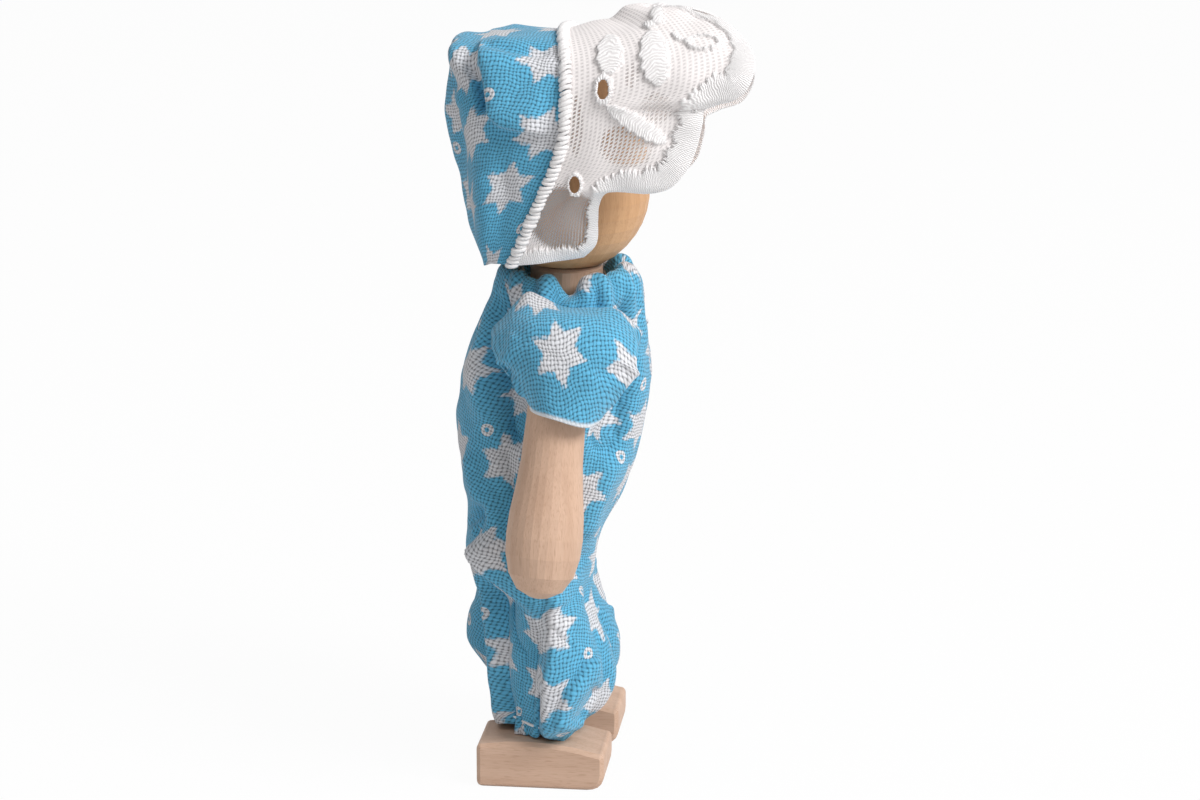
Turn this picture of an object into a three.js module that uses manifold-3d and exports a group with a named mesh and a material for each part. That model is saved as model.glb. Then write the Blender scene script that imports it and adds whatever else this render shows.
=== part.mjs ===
// A small jointed wooden baby doll in a star-print romper and a lace-brimmed bonnet.
// It stands on Z = 0 and faces -Y, so its own right side is -X. Lengths are in millimetres.

import * as THREE from 'three';
import { mergeVertices } from 'three/addons/utils/BufferGeometryUtils.js';
import Module from 'manifold-3d';

const wasm = await Module();
wasm.setup();

// Fits and materials
const CLEARANCE = 0.3; // between pieces that touch, turn or are glued
const CLOTH = 0.6; // hemmed cotton of the romper and the bonnet
const LACE = 0.5; // embroidered lawn of the brim

// Feet
const FOOT_LENGTH = 16;
const FOOT_WIDTH = 9.6;
const FOOT_CREST = 6; // height at mid foot
const FOOT_HEEL = 5.6; // height at the heel
const FOOT_TOE = 4.8; // height at the toe
const TOE_ROUND = 2.2; // radius under the toe
const FOOT_BEVEL = 0.5;
const FOOT_EDGE = 0.8; // small round at the heel and on top of the toe
const FOOT_OUTSET = 1.2; // the foot's middle line lies this far outside the leg
const HEEL_BEHIND_LEG = 8.1;

// Legs
const LEG_DIAMETER = 6;
const LEG_IN_FOOT = 3;
const HIP_HEIGHT = 28;
const HIP_SETBACK = 1.8; // the hip axis lies this far behind the doll's axis

// Torso and neck
const CHEST_DIAMETER = 15.2;
const NECK_DIAMETER = 9;
const NECK_BEVEL = 0.4;
const TORSO_LENGTH = 36.3; // hip axis to the top of the neck
const TONGUE_WIDTH = 6; // hip tongue between the legs
const TONGUE_DEPTH = 8;
const HIP_BOSS = 4.4; // round boss on the tongue that the leg turns against
const SHOULDER_DROP = 9.1; // shoulder axis below the top of the neck
const SHOULDER_FORWARD = 1;
const PEG_DIAMETER = 4;
const PEG_IN_NECK = 6;
const PEG_IN_HEAD = 9;

// Head, an egg that is round below and drawn up to the crown
const HEAD_DIAMETER = 20.6;
const HEAD_CROWN = 17.5; // crown above the widest ring

// Arms, turned drumsticks
const ARM_DIAMETER = 7;
const HAND_DIAMETER = 9.4;
const ARM_LENGTH = 29.2; // shoulder axis to the end of the hand
const ARM_SPLAY = 10; // degrees outward
const ARM_SWING = 4.5; // degrees to the back

// Elastic stringing
const CORD_DIAMETER = 1.8;
const KNOT_DIAMETER = 2.6;
const KNOT_SINK = 2.4; // depth of the counterbore that hides a knot

// Romper
const FRONT_EASE = 2.6; // how far the bodice stands off the torso at the chest
const BACK_EASE = 6.2; // and at the back
const SIDE_EASE = 0.7;
const FOLD = 0.45; // half the depth of the main folds
const NECK_EASE = 1.2; // gathered neckline off the neck
const FRILL_HEIGHT = 2;
const FRILL_FLARE = 1.2;
const NECKLINE_DROP = 3.7; // gathering line below the top of the neck
const CROTCH_EASE = 0.5;
const HIP_BALL_EASE = 2.4; // trouser top off the leg's round end
const SLEEVE_EASE = 1.1; // sleeve hem off the arm
const SLEEVE_PUFF = 2.2; // sleeve's fullest ring beyond its hem
const SLEEVE_LENGTH = 6.7; // shoulder axis to the hem
const TROUSER_EASE = 3.2; // gathered ankle off the leg
const TROUSER_PUFF = 2; // fullest ring of the trouser leg beyond its ankle
const SEAT_TUCK = 2.1; // right trouser drawn in at the back below the seat
const SEAT_HANG = 3.2; // left trouser hanging out at the back below the seat
const THREAD = 0.6; // gathering thread

// Bonnet
const BONNET_WIDTH = 24;
const BONNET_BACK = 15; // doll's axis to the back of the bonnet
const BONNET_EASE = 0.4; // cloth above the crown
const BONNET_CHIN = 0.6; // lower edge of the bonnet above the top of the neck
const SEAM_WIDTH = 1.6; // overlocked seam
const SEAM_THICKNESS = 0.5;
const SEAM_JAW = 5.6; // seam behind the doll's axis at the jaw
const SEAM_CROWN = 1.3; // seam ahead of the axis at the crown
const BRIM_CHEEK = 5; // front edge of the brim ahead of the axis, beside the cheek
const BRIM_REACH = 17; // and at the notch between the scallops
const BRIM_PEAK = 22.4; // and beside the crown
const BRIM_RISE = 2.8; // brim above the cap
const BRIM_SWELL = 0.9; // brim bowed out between its seam and its edge
const BRIM_DROOP = 4; // left wing hangs this far below the right one

// Turned and carved wood, cloth and thread
const MAPLE = { color: 0xcfae97, roughness: 0.55, metalness: 0 };
const HONEY_MAPLE = { color: 0xcfa37c, roughness: 0.5, metalness: 0 };
const PINK_BEECH = { color: 0xd8bda9, roughness: 0.6, metalness: 0 };
const ELASTIC = { color: 0xe6e0d4, roughness: 0.8, metalness: 0 };
const BLUE_COTTON = { color: 0x55a0c8, roughness: 0.9, metalness: 0 };
const WHITE_LAWN = { color: 0xf2eeec, roughness: 0.85, metalness: 0 };
const WHITE_THREAD = { color: 0xf5f3ef, roughness: 0.7, metalness: 0 };

// Places that follow from the sizes
const legRadius = LEG_DIAMETER / 2;
const chest = CHEST_DIAMETER / 2;
const neckRadius = NECK_DIAMETER / 2;
const headRadius = HEAD_DIAMETER / 2;
const armRadius = ARM_DIAMETER / 2;
const handRadius = HAND_DIAMETER / 2;
const boreRadius = CORD_DIAMETER / 2 + CLEARANCE;
const knotRadius = KNOT_DIAMETER / 2;
const neckTop = HIP_HEIGHT + TORSO_LENGTH;
const shoulder = new THREE.Vector3(0, -SHOULDER_FORWARD, neckTop - SHOULDER_DROP);
const hip = new THREE.Vector3(0, HIP_SETBACK, HIP_HEIGHT);
const tongueHalf = TONGUE_WIDTH / 2;
const wall = CLEARANCE + CLOTH;
const legX = tongueHalf + wall + CLEARANCE + legRadius;
const trouserTop = legRadius + CLOTH + HIP_BALL_EASE;
const bodiceHem = HIP_HEIGHT + trouserTop + 2 * CLEARANCE;
const torsoBottom = bodiceHem + CLEARANCE;
const bodiceSide = chest + CLEARANCE + CLOTH + SIDE_EASE;
const shoulderX = bodiceSide + CLEARANCE + armRadius;
const headFlat = neckTop + CLEARANCE;
const headZ = headFlat + Math.sqrt(headRadius ** 2 - (neckRadius + CLEARANCE) ** 2);
const cutBeyond = 2 * (shoulderX + armRadius); // how far a cutter runs past what it cuts
const neckline = neckTop - NECKLINE_DROP;
const frillTop = neckline + FRILL_HEIGHT;
const bonnetBottom = neckTop + BONNET_CHIN;
const bonnetTop = headZ + HEAD_CROWN + BONNET_EASE + CLOTH + CLEARANCE;

// Gives a smooth function through rows of [place, value, value, ...]
function smooth(rows) {
  const places = rows.map((row) => row[0]);
  const values = rows.flatMap((row) => row.slice(1));
  const curve = new THREE.CubicInterpolant(places, values, rows[0].length - 1);
  return (place) => Array.from(curve.evaluate(place));
}

// Makes an indexed geometry from points and triangles, with its faces pointing out
function body(points, triangles) {
  let volume = 0;
  triangles.forEach(([a, b, c]) => {
    volume += points[a].dot(points[b].clone().cross(points[c]));
  });
  const outward = volume < 0 ? triangles.map(([a, b, c]) => [a, c, b]) : triangles;
  const geometry = new THREE.BufferGeometry().setFromPoints(points);
  geometry.setIndex(outward.flat());
  return geometry;
}

// Skins a row of rings, each with as many points, and closes both ends
function loft(rings) {
  const count = rings[0].length;
  const points = rings.flat();
  const triangles = [];
  for (let ring = 0; ring < rings.length - 1; ring += 1) {
    for (let i = 0; i < count; i += 1) {
      const a = ring * count + i;
      const b = ring * count + ((i + 1) % count);
      triangles.push([a, b, b + count], [a, b + count, a + count]);
    }
  }
  [0, rings.length - 1].forEach((ring) => {
    const middle = points.length;
    const centre = new THREE.Vector3();
    rings[ring].forEach((point) => centre.addScaledVector(point, 1 / count));
    points.push(centre);
    for (let i = 0; i < count; i += 1) {
      const pair = [ring * count + i, ring * count + ((i + 1) % count)];
      triangles.push(ring === 0 ? [pair[1], pair[0], middle] : [pair[0], pair[1], middle]);
    }
  });
  return body(points, triangles);
}

// Skins a closed row of rings into a ring-shaped body
function hoop(rings) {
  const count = rings[0].length;
  const points = rings.flat();
  const triangles = [];
  for (let ring = 0; ring < rings.length; ring += 1) {
    const next = (ring + 1) % rings.length;
    for (let i = 0; i < count; i += 1) {
      const j = (i + 1) % count;
      const [a, b] = [ring * count + i, ring * count + j];
      const [c, d] = [next * count + i, next * count + j];
      triangles.push([a, b, d], [a, d, c]);
    }
  }
  return body(points, triangles);
}

// Turns a closed geometry into a solid that can be joined and cut
function solid(geometry) {
  const bare = geometry.clone();
  bare.deleteAttribute('normal');
  bare.deleteAttribute('uv');
  const welded = mergeVertices(bare, 1e-4);
  const index = Array.from(welded.index.array);
  const triVerts = [];
  for (let i = 0; i < index.length; i += 3) {
    const [a, b, c] = index.slice(i, i + 3);
    if (a !== b && b !== c && a !== c) triVerts.push(a, b, c);
  }
  const vertProperties = new Float32Array(welded.attributes.position.array);
  const mesh = { numProp: 3, vertProperties, triVerts: new Uint32Array(triVerts) };
  return new wasm.Manifold(new wasm.Mesh(mesh));
}

// Turns a solid back into a geometry
function faceted(piece) {
  const mesh = piece.getMesh();
  const geometry = new THREE.BufferGeometry();
  const places = new Float32Array(mesh.vertProperties);
  geometry.setAttribute('position', new THREE.BufferAttribute(places, 3));
  geometry.setIndex(Array.from(mesh.triVerts));
  return geometry;
}

// A round bar along X from one place to another, through a given point
function barX(radius, from, to, at, sides = 20) {
  const geometry = new THREE.CylinderGeometry(radius, radius, to - from, sides);
  geometry.rotateZ(Math.PI / 2);
  geometry.translate((from + to) / 2, at.y, at.z);
  return geometry;
}

// A round bar along Z between two heights
function barZ(radius, from, to, x, y, sides = 24) {
  const geometry = new THREE.CylinderGeometry(radius, radius, to - from, sides);
  geometry.rotateX(Math.PI / 2);
  geometry.translate(x, y, (from + to) / 2);
  return geometry;
}

// A block between two corners
function block(x0, x1, y0, y1, z0, z1) {
  const geometry = new THREE.BoxGeometry(x1 - x0, y1 - y0, z1 - z0);
  geometry.translate((x0 + x1) / 2, (y0 + y1) / 2, (z0 + z1) / 2);
  return geometry;
}

// A piece turned about Z from rows of [radius, height]
function turned(rows, sides) {
  const geometry = new THREE.LatheGeometry(rows.map(([r, z]) => new THREE.Vector2(r, z)), sides);
  geometry.rotateX(Math.PI / 2);
  return geometry;
}

// A side outline drawn in Y and Z, extruded along X about the middle
function sideExtrude(outline, width, bevel, curveSegments) {
  const geometry = new THREE.ExtrudeGeometry(outline, {
    depth: width - 2 * bevel,
    bevelEnabled: bevel > 0,
    bevelSize: bevel,
    bevelOffset: -bevel,
    bevelThickness: bevel,
    bevelSegments: 1,
    curveSegments,
  });
  geometry.translate(0, 0, bevel - width / 2);
  geometry.applyMatrix4(new THREE.Matrix4().makeBasis(
    new THREE.Vector3(0, 1, 0),
    new THREE.Vector3(0, 0, 1),
    new THREE.Vector3(1, 0, 0),
  ));
  return geometry;
}

// One level ring of a garment. Reaches are front, back, inner and outer, and waves fold it.
function clothRing(centre, reach, count, square, wave = () => 0) {
  const ring = [];
  for (let i = 0; i < count; i += 1) {
    const angle = (i / count) * 2 * Math.PI;
    const across = Math.sign(Math.cos(angle)) * Math.abs(Math.cos(angle)) ** square;
    const along = Math.sign(Math.sin(angle)) * Math.abs(Math.sin(angle)) ** square;
    const swell = wave(angle);
    const x = across * (across < 0 ? reach.left : reach.right);
    const y = along * (along < 0 ? reach.front : reach.back);
    const stretch = 1 + swell / Math.max(Math.hypot(x, y), 1);
    ring.push(new THREE.Vector3(centre.x + x * stretch, centre.y + y * stretch, centre.z));
  }
  return ring;
}

const doll = new THREE.Group();

// Names a piece and gives it a material of its own
function add(name, geometry, finish) {
  const mesh = new THREE.Mesh(geometry, new THREE.MeshStandardMaterial(finish));
  mesh.name = name;
  doll.add(mesh);
}

// Torso: turned body and neck with a flat tongue for the hips
const torsoShape = smooth([
  [torsoBottom, 0.7 * chest],
  [torsoBottom + 2.3, 0.84 * chest],
  [torsoBottom + 5.8, 0.95 * chest],
  [shoulder.z - 9, chest],
  [shoulder.z - 1.5, chest],
  [shoulder.z + 2, 0.85 * chest],
  [neckline - 1, 0.08 * chest + 0.92 * neckRadius],
  [neckline, neckRadius],
]);

function makeTorso() {
  const rows = [[0, torsoBottom]];
  const steps = 10;
  for (let i = 0; i <= steps; i += 1) {
    const z = THREE.MathUtils.lerp(torsoBottom, neckline, i / steps);
    rows.push([torsoShape(z)[0], z]);
  }
  rows.push([neckRadius, neckTop - NECK_BEVEL], [neckRadius - NECK_BEVEL, neckTop], [0, neckTop]);
  const tongue = new THREE.Shape();
  tongue.moveTo(HIP_SETBACK + TONGUE_DEPTH / 2, torsoBottom + 2);
  tongue.lineTo(HIP_SETBACK - TONGUE_DEPTH / 2, torsoBottom + 2);
  tongue.lineTo(HIP_SETBACK - TONGUE_DEPTH / 2, HIP_HEIGHT);
  tongue.absarc(HIP_SETBACK, HIP_HEIGHT, TONGUE_DEPTH / 2, Math.PI, 2 * Math.PI, false);
  const holeRadius = PEG_DIAMETER / 2 + CLEARANCE;
  const pegHole = barZ(holeRadius, neckTop - PEG_IN_NECK - CLEARANCE, neckTop + NECK_BEVEL, 0, 0);
  return faceted(solid(turned(rows, 28))
    .add(solid(sideExtrude(tongue, TONGUE_WIDTH, 0, 10)))
    .add(solid(barX(HIP_BOSS / 2, -tongueHalf - wall, tongueHalf + wall, hip, 16)))
    .subtract(solid(pegHole))
    .subtract(solid(barX(boreRadius, -cutBeyond, cutBeyond, shoulder, 16)))
    .subtract(solid(barX(boreRadius, -cutBeyond, cutBeyond, hip, 16))));
}

// Head: an egg with a flat under the chin and a blind hole for the neck peg
function makeHead() {
  const rows = [[0, headFlat]];
  const low = -Math.acos((neckRadius + CLEARANCE) / headRadius);
  const steps = 16;
  for (let i = 0; i <= steps; i += 1) {
    const angle = THREE.MathUtils.lerp(low, Math.PI / 2, i / steps);
    const height = angle < 0 ? headRadius : HEAD_CROWN;
    rows.push([i === steps ? 0 : headRadius * Math.cos(angle), headZ + height * Math.sin(angle)]);
  }
  const holeRadius = PEG_DIAMETER / 2 + CLEARANCE;
  const holeTop = neckTop + PEG_IN_HEAD + CLEARANCE;
  const hole = barZ(holeRadius, headFlat - CLEARANCE, holeTop, 0, 0);
  return faceted(solid(turned(rows, 32)).subtract(solid(hole)));
}

// Arm: a turned drumstick, drilled across for the cord and counterbored for its knot
function makeArm(side) {
  const rows = [
    [0, -ARM_LENGTH],
    [0.12 * handRadius, -ARM_LENGTH],
    [0.25 * handRadius, -0.995 * ARM_LENGTH],
    [0.6 * handRadius, -0.965 * ARM_LENGTH],
    [0.85 * handRadius, -0.9 * ARM_LENGTH],
    [0.97 * handRadius, -0.82 * ARM_LENGTH],
    [handRadius, -0.74 * ARM_LENGTH],
    [0.12 * armRadius + 0.88 * handRadius, -0.65 * ARM_LENGTH],
    [0.45 * armRadius + 0.55 * handRadius, -0.55 * ARM_LENGTH],
    [0.75 * armRadius + 0.25 * handRadius, -0.43 * ARM_LENGTH],
    [armRadius, -0.14 * ARM_LENGTH],
    [armRadius, 0],
    [0.87 * armRadius, 0.5 * armRadius],
    [0.5 * armRadius, 0.87 * armRadius],
    [0, armRadius],
  ];
  const arm = turned(rows, 28);
  arm.rotateX(THREE.MathUtils.degToRad(ARM_SWING));
  arm.rotateY(THREE.MathUtils.degToRad(-side * ARM_SPLAY));
  arm.translate(side * shoulderX, shoulder.y, shoulder.z);
  const seat = shoulderX + armRadius - KNOT_SINK;
  const [from, to] = side < 0 ? [-cutBeyond, -seat] : [seat, cutBeyond];
  return faceted(solid(arm)
    .subtract(solid(barX(boreRadius, -cutBeyond, cutBeyond, shoulder, 16)))
    .subtract(solid(barX(knotRadius + CLEARANCE, from, to, shoulder, 16))));
}

// Leg: a dowel with a ball end, drilled across at the hip
function makeLeg(side) {
  const foot = FOOT_CREST - LEG_IN_FOOT;
  const rows = [[0, foot], [legRadius, foot], [legRadius, HIP_HEIGHT]];
  const steps = 6;
  for (let i = 1; i <= steps; i += 1) {
    const angle = (i / steps) * (Math.PI / 2);
    rows.push([i === steps ? 0 : legRadius * Math.cos(angle), HIP_HEIGHT + legRadius * Math.sin(angle)]);
  }
  const leg = turned(rows, 24);
  leg.translate(side * legX, HIP_SETBACK, 0);
  const seat = legX + legRadius - KNOT_SINK;
  const [from, to] = side < 0 ? [-cutBeyond, -seat] : [seat, cutBeyond];
  return faceted(solid(leg)
    .subtract(solid(barX(boreRadius, -cutBeyond, cutBeyond, hip, 16)))
    .subtract(solid(barX(knotRadius + CLEARANCE, from, to, hip, 16))));
}

// Foot: a block with a crowned top and a round toe, and a blind hole for the leg
function makeFoot(side) {
  const heel = HIP_SETBACK + HEEL_BEHIND_LEG;
  const toe = heel - FOOT_LENGTH;
  const edge = FOOT_EDGE;
  const crest = 2 * FOOT_CREST - (FOOT_HEEL + FOOT_TOE) / 2;
  const outline = new THREE.Shape();
  outline.moveTo(heel - edge, 0);
  outline.quadraticCurveTo(heel, 0, heel, edge);
  outline.lineTo(heel, FOOT_HEEL - edge);
  outline.quadraticCurveTo(heel, FOOT_HEEL, heel - edge, FOOT_HEEL);
  outline.quadraticCurveTo((heel + toe) / 2, crest, toe + edge, FOOT_TOE);
  outline.quadraticCurveTo(toe, FOOT_TOE, toe, FOOT_TOE - edge);
  outline.lineTo(toe, TOE_ROUND);
  outline.quadraticCurveTo(toe, 0, toe + TOE_ROUND, 0);
  const foot = sideExtrude(outline, FOOT_WIDTH, FOOT_BEVEL, 5);
  foot.translate(side * (legX + FOOT_OUTSET), 0, 0);
  const floor = FOOT_CREST - LEG_IN_FOOT - CLEARANCE;
  const hole = barZ(legRadius + CLEARANCE, floor, cutBeyond, side * legX, HIP_SETBACK);
  return faceted(solid(foot).subtract(solid(hole)));
}

// Elastic cord along X with a knot at each end
function makeCord(at, reach) {
  const knot = reach - KNOT_SINK + CLEARANCE + knotRadius;
  const ends = [-knot, knot].map((x) => {
    const ball = new THREE.SphereGeometry(knotRadius, 10, 6);
    ball.translate(x, at.y, at.z);
    return solid(ball);
  });
  return faceted(solid(barX(CORD_DIAMETER / 2, -knot, knot, at, 12)).add(ends[0]).add(ends[1]));
}

// Bodice rings, from the crotch gusset up to the frill: place, front, back, side
const tongueFront = TONGUE_DEPTH / 2 - HIP_SETBACK;
const pinch = neckRadius + wall + NECK_EASE;
const crotch = HIP_HEIGHT - TONGUE_DEPTH / 2 - wall;
const bodiceRows = [
  [crotch, 0.5 * tongueFront, chest, bodiceSide],
  [crotch + 1.8, tongueFront + wall, chest + 0.6 * BACK_EASE, bodiceSide],
  [HIP_HEIGHT, tongueFront + wall + CROTCH_EASE, chest + 0.76 * BACK_EASE, bodiceSide],
  [bodiceHem, 0.7 * chest + wall + 0.5, chest + 0.86 * BACK_EASE, bodiceSide],
  [bodiceHem + 4.5, 0.94 * chest + wall + 0.5, chest + 0.92 * BACK_EASE, bodiceSide],
  [bodiceHem + 9.5, chest + 0.75 * FRONT_EASE, chest + BACK_EASE, bodiceSide],
  [shoulder.z - 6, chest + FRONT_EASE, chest + BACK_EASE, bodiceSide],
  [shoulder.z - 1, chest + 0.95 * FRONT_EASE, chest + 0.76 * BACK_EASE, bodiceSide],
  [neckline - 1.8, chest + 0.75 * FRONT_EASE, chest + 0.35 * BACK_EASE, bodiceSide - 0.8],
  [neckline, pinch, pinch, pinch],
  [frillTop, pinch + FRILL_FLARE, pinch + FRILL_FLARE, pinch + FRILL_FLARE],
];
const bodiceShape = smooth(bodiceRows);

// The folds run down the front and the back and leave the armholes smooth
function bodiceFolds(z) {
  if (z > neckline) {
    return (angle) => 0.3 * FRILL_FLARE * Math.cos(12 * angle);
  }
  return (angle) => FOLD * Math.sin(angle) ** 2 * Math.cos(9 * angle + 0.06 * z);
}

function bodiceRing(z, inset) {
  const [front, back, side] = bodiceShape(z).map((reach) => reach - inset);
  const reach = { front, back, left: side, right: side };
  return clothRing(new THREE.Vector3(0, 0, z), reach, 48, 0.86, bodiceFolds(z));
}

function makeBodice() {
  const places = bodiceRows.map((row) => row[0]);
  const outer = places.map((z) => bodiceRing(z, 0));
  const inner = places.slice(1).map((z) => bodiceRing(z, CLOTH));
  inner.unshift(bodiceRing(crotch, CLOTH).map((point) => point.setZ(crotch + CLOTH)));
  const mouth = bodiceRing(frillTop, CLOTH).map((point) => point.setZ(frillTop + 2));
  inner.push(mouth);
  const armhole = armRadius + wall;
  let piece = solid(loft(outer)).subtract(solid(loft(inner)));
  [-1, 1].forEach((side) => {
    const far = side * cutBeyond;
    const near = side * tongueHalf;
    const legGap = block(Math.min(near, far), Math.max(near, far), -cutBeyond, cutBeyond, 0, bodiceHem);
    const start = side * 0.5 * chest;
    const hole = barX(armhole, Math.min(start, far), Math.max(start, far), shoulder, 24);
    piece = piece.subtract(solid(legGap)).subtract(solid(hole));
  });
  return faceted(piece);
}

// Sleeve: a puffed cap round the top of the arm, open to the body and at its hem
function makeSleeve(side) {
  const swing = Math.tan(THREE.MathUtils.degToRad(ARM_SWING)) * SLEEVE_LENGTH;
  const splay = Math.tan(THREE.MathUtils.degToRad(ARM_SPLAY)) * SLEEVE_LENGTH;
  const hem = armRadius + wall + SLEEVE_EASE;
  const full = hem + SLEEVE_PUFF;
  const rows = [
    [-SLEEVE_LENGTH, hem + 0.4, hem - 0.4 + swing, hem - 0.6 + splay],
    [-0.65 * SLEEVE_LENGTH, full - 0.8, full - 1.9, hem - 0.4 + splay],
    [-0.17 * SLEEVE_LENGTH, full + 0.5, full - 1.2, hem],
    [0.33 * SLEEVE_LENGTH, full - 0.2, full - 2.4, hem - 0.5],
    [0.68 * SLEEVE_LENGTH, 0.75 * hem, 0.62 * hem, 0.5 * hem],
    [0.92 * SLEEVE_LENGTH, 0.32 * hem, 0.28 * hem, 0.12 * hem],
  ];
  const folds = (angle) => FOLD * Math.cos(7 * angle);
  const ring = (row, inset) => {
    const [drop, front, back, outer] = row;
    const inner = Math.max(armRadius + 2 * wall - inset, outer - inset);
    const reach = { front: front - inset, back: back - inset, left: inner, right: outer - inset };
    const at = new THREE.Vector3(shoulderX, shoulder.y, shoulder.z + drop);
    return clothRing(at, reach, 28, 0.9, drop < 0 ? folds : undefined);
  };
  const outer = rows.map((row) => ring(row, 0));
  const inner = rows.slice(0, -1).map((row) => ring(row, CLOTH));
  inner.unshift(ring(rows[0], CLOTH).map((point) => point.setZ(point.z - 2)));
  const crown = ring(rows[rows.length - 1], 0).map((point) => point.setZ(point.z - CLOTH));
  inner.push(crown);
  const bodySide = block(-cutBeyond, bodiceSide + CLEARANCE, -cutBeyond, cutBeyond, 0, 3 * cutBeyond);
  const geometry = faceted(solid(loft(outer)).subtract(solid(loft(inner))).subtract(solid(bodySide)));
  return side < 0 ? mirrored(geometry) : geometry;
}

// Trouser leg: a gathered balloon from the ankle to a round top that turns about the hip
const trouserHem = FOOT_CREST + 2 * CLEARANCE;
const anklePinch = trouserHem + 2;
const ankle = legRadius + TROUSER_EASE;
const balloon = ankle + TROUSER_PUFF;
const outerSide = legRadius + wall + 0.6;
const innerSide = legRadius + wall;
const trouserRows = [
  [trouserHem, ankle + 0.6, ankle + 0.6, ankle - 1.4, ankle - 0.6],
  [anklePinch, ankle, ankle + 0.6, ankle - 1.8, ankle - 1],
  [0.45 * HIP_HEIGHT, balloon, balloon + 0.2, ankle - 0.6, ankle - 0.2],
  [0.57 * HIP_HEIGHT, balloon - 0.4, balloon + 1.3, innerSide, ankle - 0.6],
  [0.72 * HIP_HEIGHT, trouserTop + 0.1, balloon + 1.8, innerSide, outerSide + 0.5],
  [0.86 * HIP_HEIGHT, trouserTop - 0.1, balloon + 2, innerSide, outerSide + 0.2],
  [HIP_HEIGHT, trouserTop, balloon + 1.8, innerSide, outerSide],
  [HIP_HEIGHT + 0.5 * trouserTop, 0.866 * trouserTop, balloon - 0.2, innerSide, outerSide],
  [HIP_HEIGHT + 0.83 * trouserTop, 0.55 * trouserTop, 0.56 * balloon, innerSide - 0.4, outerSide - 0.4],
  [HIP_HEIGHT + trouserTop, 0.2 * trouserTop, 0.18 * balloon, legRadius, legRadius],
];

// Shares of the tuck and of the hang at the back of each of those rings, from the hem up
const tuckShares = [0.1, 0, 0.55, 1, 0.85, 0.35, 0, 0, 0, 0];
const hangShares = [0, 0.35, 1, 0.62, 0.3, 0, 0, 0, 0, 0];

function trouserRing(index, inset, side) {
  const [z, front, plain, left, right] = trouserRows[index];
  const seat = side < 0 ? -SEAT_TUCK * tuckShares[index] : SEAT_HANG * hangShares[index];
  const back = plain + seat;
  const reach = { front: front - inset, back: back - inset, left: left - inset, right: right - inset };
  const gathered = THREE.MathUtils.smoothstep(HIP_HEIGHT - z, 0, HIP_HEIGHT);
  const folds = (angle) => FOLD * gathered * Math.cos(8 * angle);
  return clothRing(new THREE.Vector3(legX, HIP_SETBACK, z), reach, 32, 0.86, folds);
}

function makeTrouser(side) {
  const last = trouserRows.length - 1;
  const outer = trouserRows.map((row, i) => trouserRing(i, 0, side));
  const inner = trouserRows.slice(0, last).map((row, i) => trouserRing(i, CLOTH, side));
  inner.unshift(trouserRing(0, CLOTH, side).map((point) => point.setZ(point.z - 2)));
  inner.push(trouserRing(last, CLOTH, side).map((point) => point.setZ(point.z - CLOTH)));
  const bossHole = barX(HIP_BOSS / 2 + CLEARANCE, 0, legX, hip, 16);
  const geometry = faceted(solid(loft(outer)).subtract(solid(loft(inner))).subtract(solid(bossHole)));
  return side < 0 ? mirrored(geometry) : geometry;
}

// Mirrors a left piece to the right side and keeps its faces pointing out
function mirrored(geometry) {
  const copy = geometry.clone();
  copy.scale(-1, 1, 1);
  const index = Array.from(copy.index.array);
  for (let i = 0; i < index.length; i += 3) {
    [index[i], index[i + 1]] = [index[i + 1], index[i]];
  }
  copy.setIndex(index);
  return copy;
}

// A thread laid round a garment ring, just outside the cloth
function makeThread(ring) {
  const centre = new THREE.Vector3();
  ring.forEach((point) => centre.addScaledVector(point, 1 / ring.length));
  const sides = 4;
  const radius = THREAD / 2;
  return hoop(ring.map((point) => {
    const out = point.clone().sub(centre).normalize();
    const middle = point.clone().addScaledVector(out, CLEARANCE + radius);
    const section = [];
    for (let i = 0; i < sides; i += 1) {
      const angle = (i / sides) * 2 * Math.PI;
      const place = middle.clone().addScaledVector(out, radius * Math.cos(angle));
      section.push(place.setZ(place.z + radius * Math.sin(angle)));
    }
    return section;
  }));
}

// Bonnet arch: half its width at a height, full at the cheeks and drawn up to the crown
function archHalf(z, half, top) {
  const fullest = THREE.MathUtils.lerp(bonnetBottom, top, 0.33);
  if (z < fullest) {
    return half * (1 - 0.2 * ((fullest - z) / (fullest - bonnetBottom)) ** 2);
  }
  return half * Math.sqrt(Math.max(0, 1 - ((z - fullest) / (top - fullest)) ** 2.6));
}

// Seam between cap and brim: from behind the jaw up to the front of the crown
function seamY(z) {
  const share = THREE.MathUtils.clamp((z - bonnetBottom) / (bonnetTop - bonnetBottom), 0, 1);
  return THREE.MathUtils.lerp(SEAM_JAW, -SEAM_CROWN, Math.sin((Math.PI / 2) * share ** 0.8));
}

// Bonnet cap: a cloth bag over the back of the head, open at the seam and below
const capBack = smooth([[0, 0.74], [0.33, 0.88], [0.67, 1], [0.9, 0.95], [1, 0.78]]);
const capShares = [0, 0.16, 0.33, 0.5, 0.67, 0.8, 0.9, 0.96, 0.985];

function capRing(share, inset, drop = 0) {
  const z = THREE.MathUtils.lerp(bonnetBottom, bonnetTop - inset, share);
  const half = archHalf(z, BONNET_WIDTH / 2 - inset, bonnetTop - inset);
  const front = seamY(z) + CLEARANCE / 2;
  const back = BONNET_BACK * capBack(share)[0] - inset;
  const forward = inset > 0 ? SEAM_WIDTH : 0;
  const ring = [new THREE.Vector3(half, front - forward, z - drop)];
  const steps = 30;
  for (let i = 0; i <= steps; i += 1) {
    const angle = (i / steps) * Math.PI;
    const fold = 1 + (FOLD / BONNET_BACK) * Math.cos(8 * angle) * Math.sin(angle) ** 2;
    const x = Math.sign(Math.cos(angle)) * Math.abs(Math.cos(angle)) ** 0.72 * half;
    const y = front + Math.sin(angle) ** 0.72 * (back - front);
    ring.push(new THREE.Vector3(x * fold, front + (y - front) * fold, z - drop));
  }
  ring.push(new THREE.Vector3(-half, front - forward, z - drop));
  return ring;
}

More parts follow.
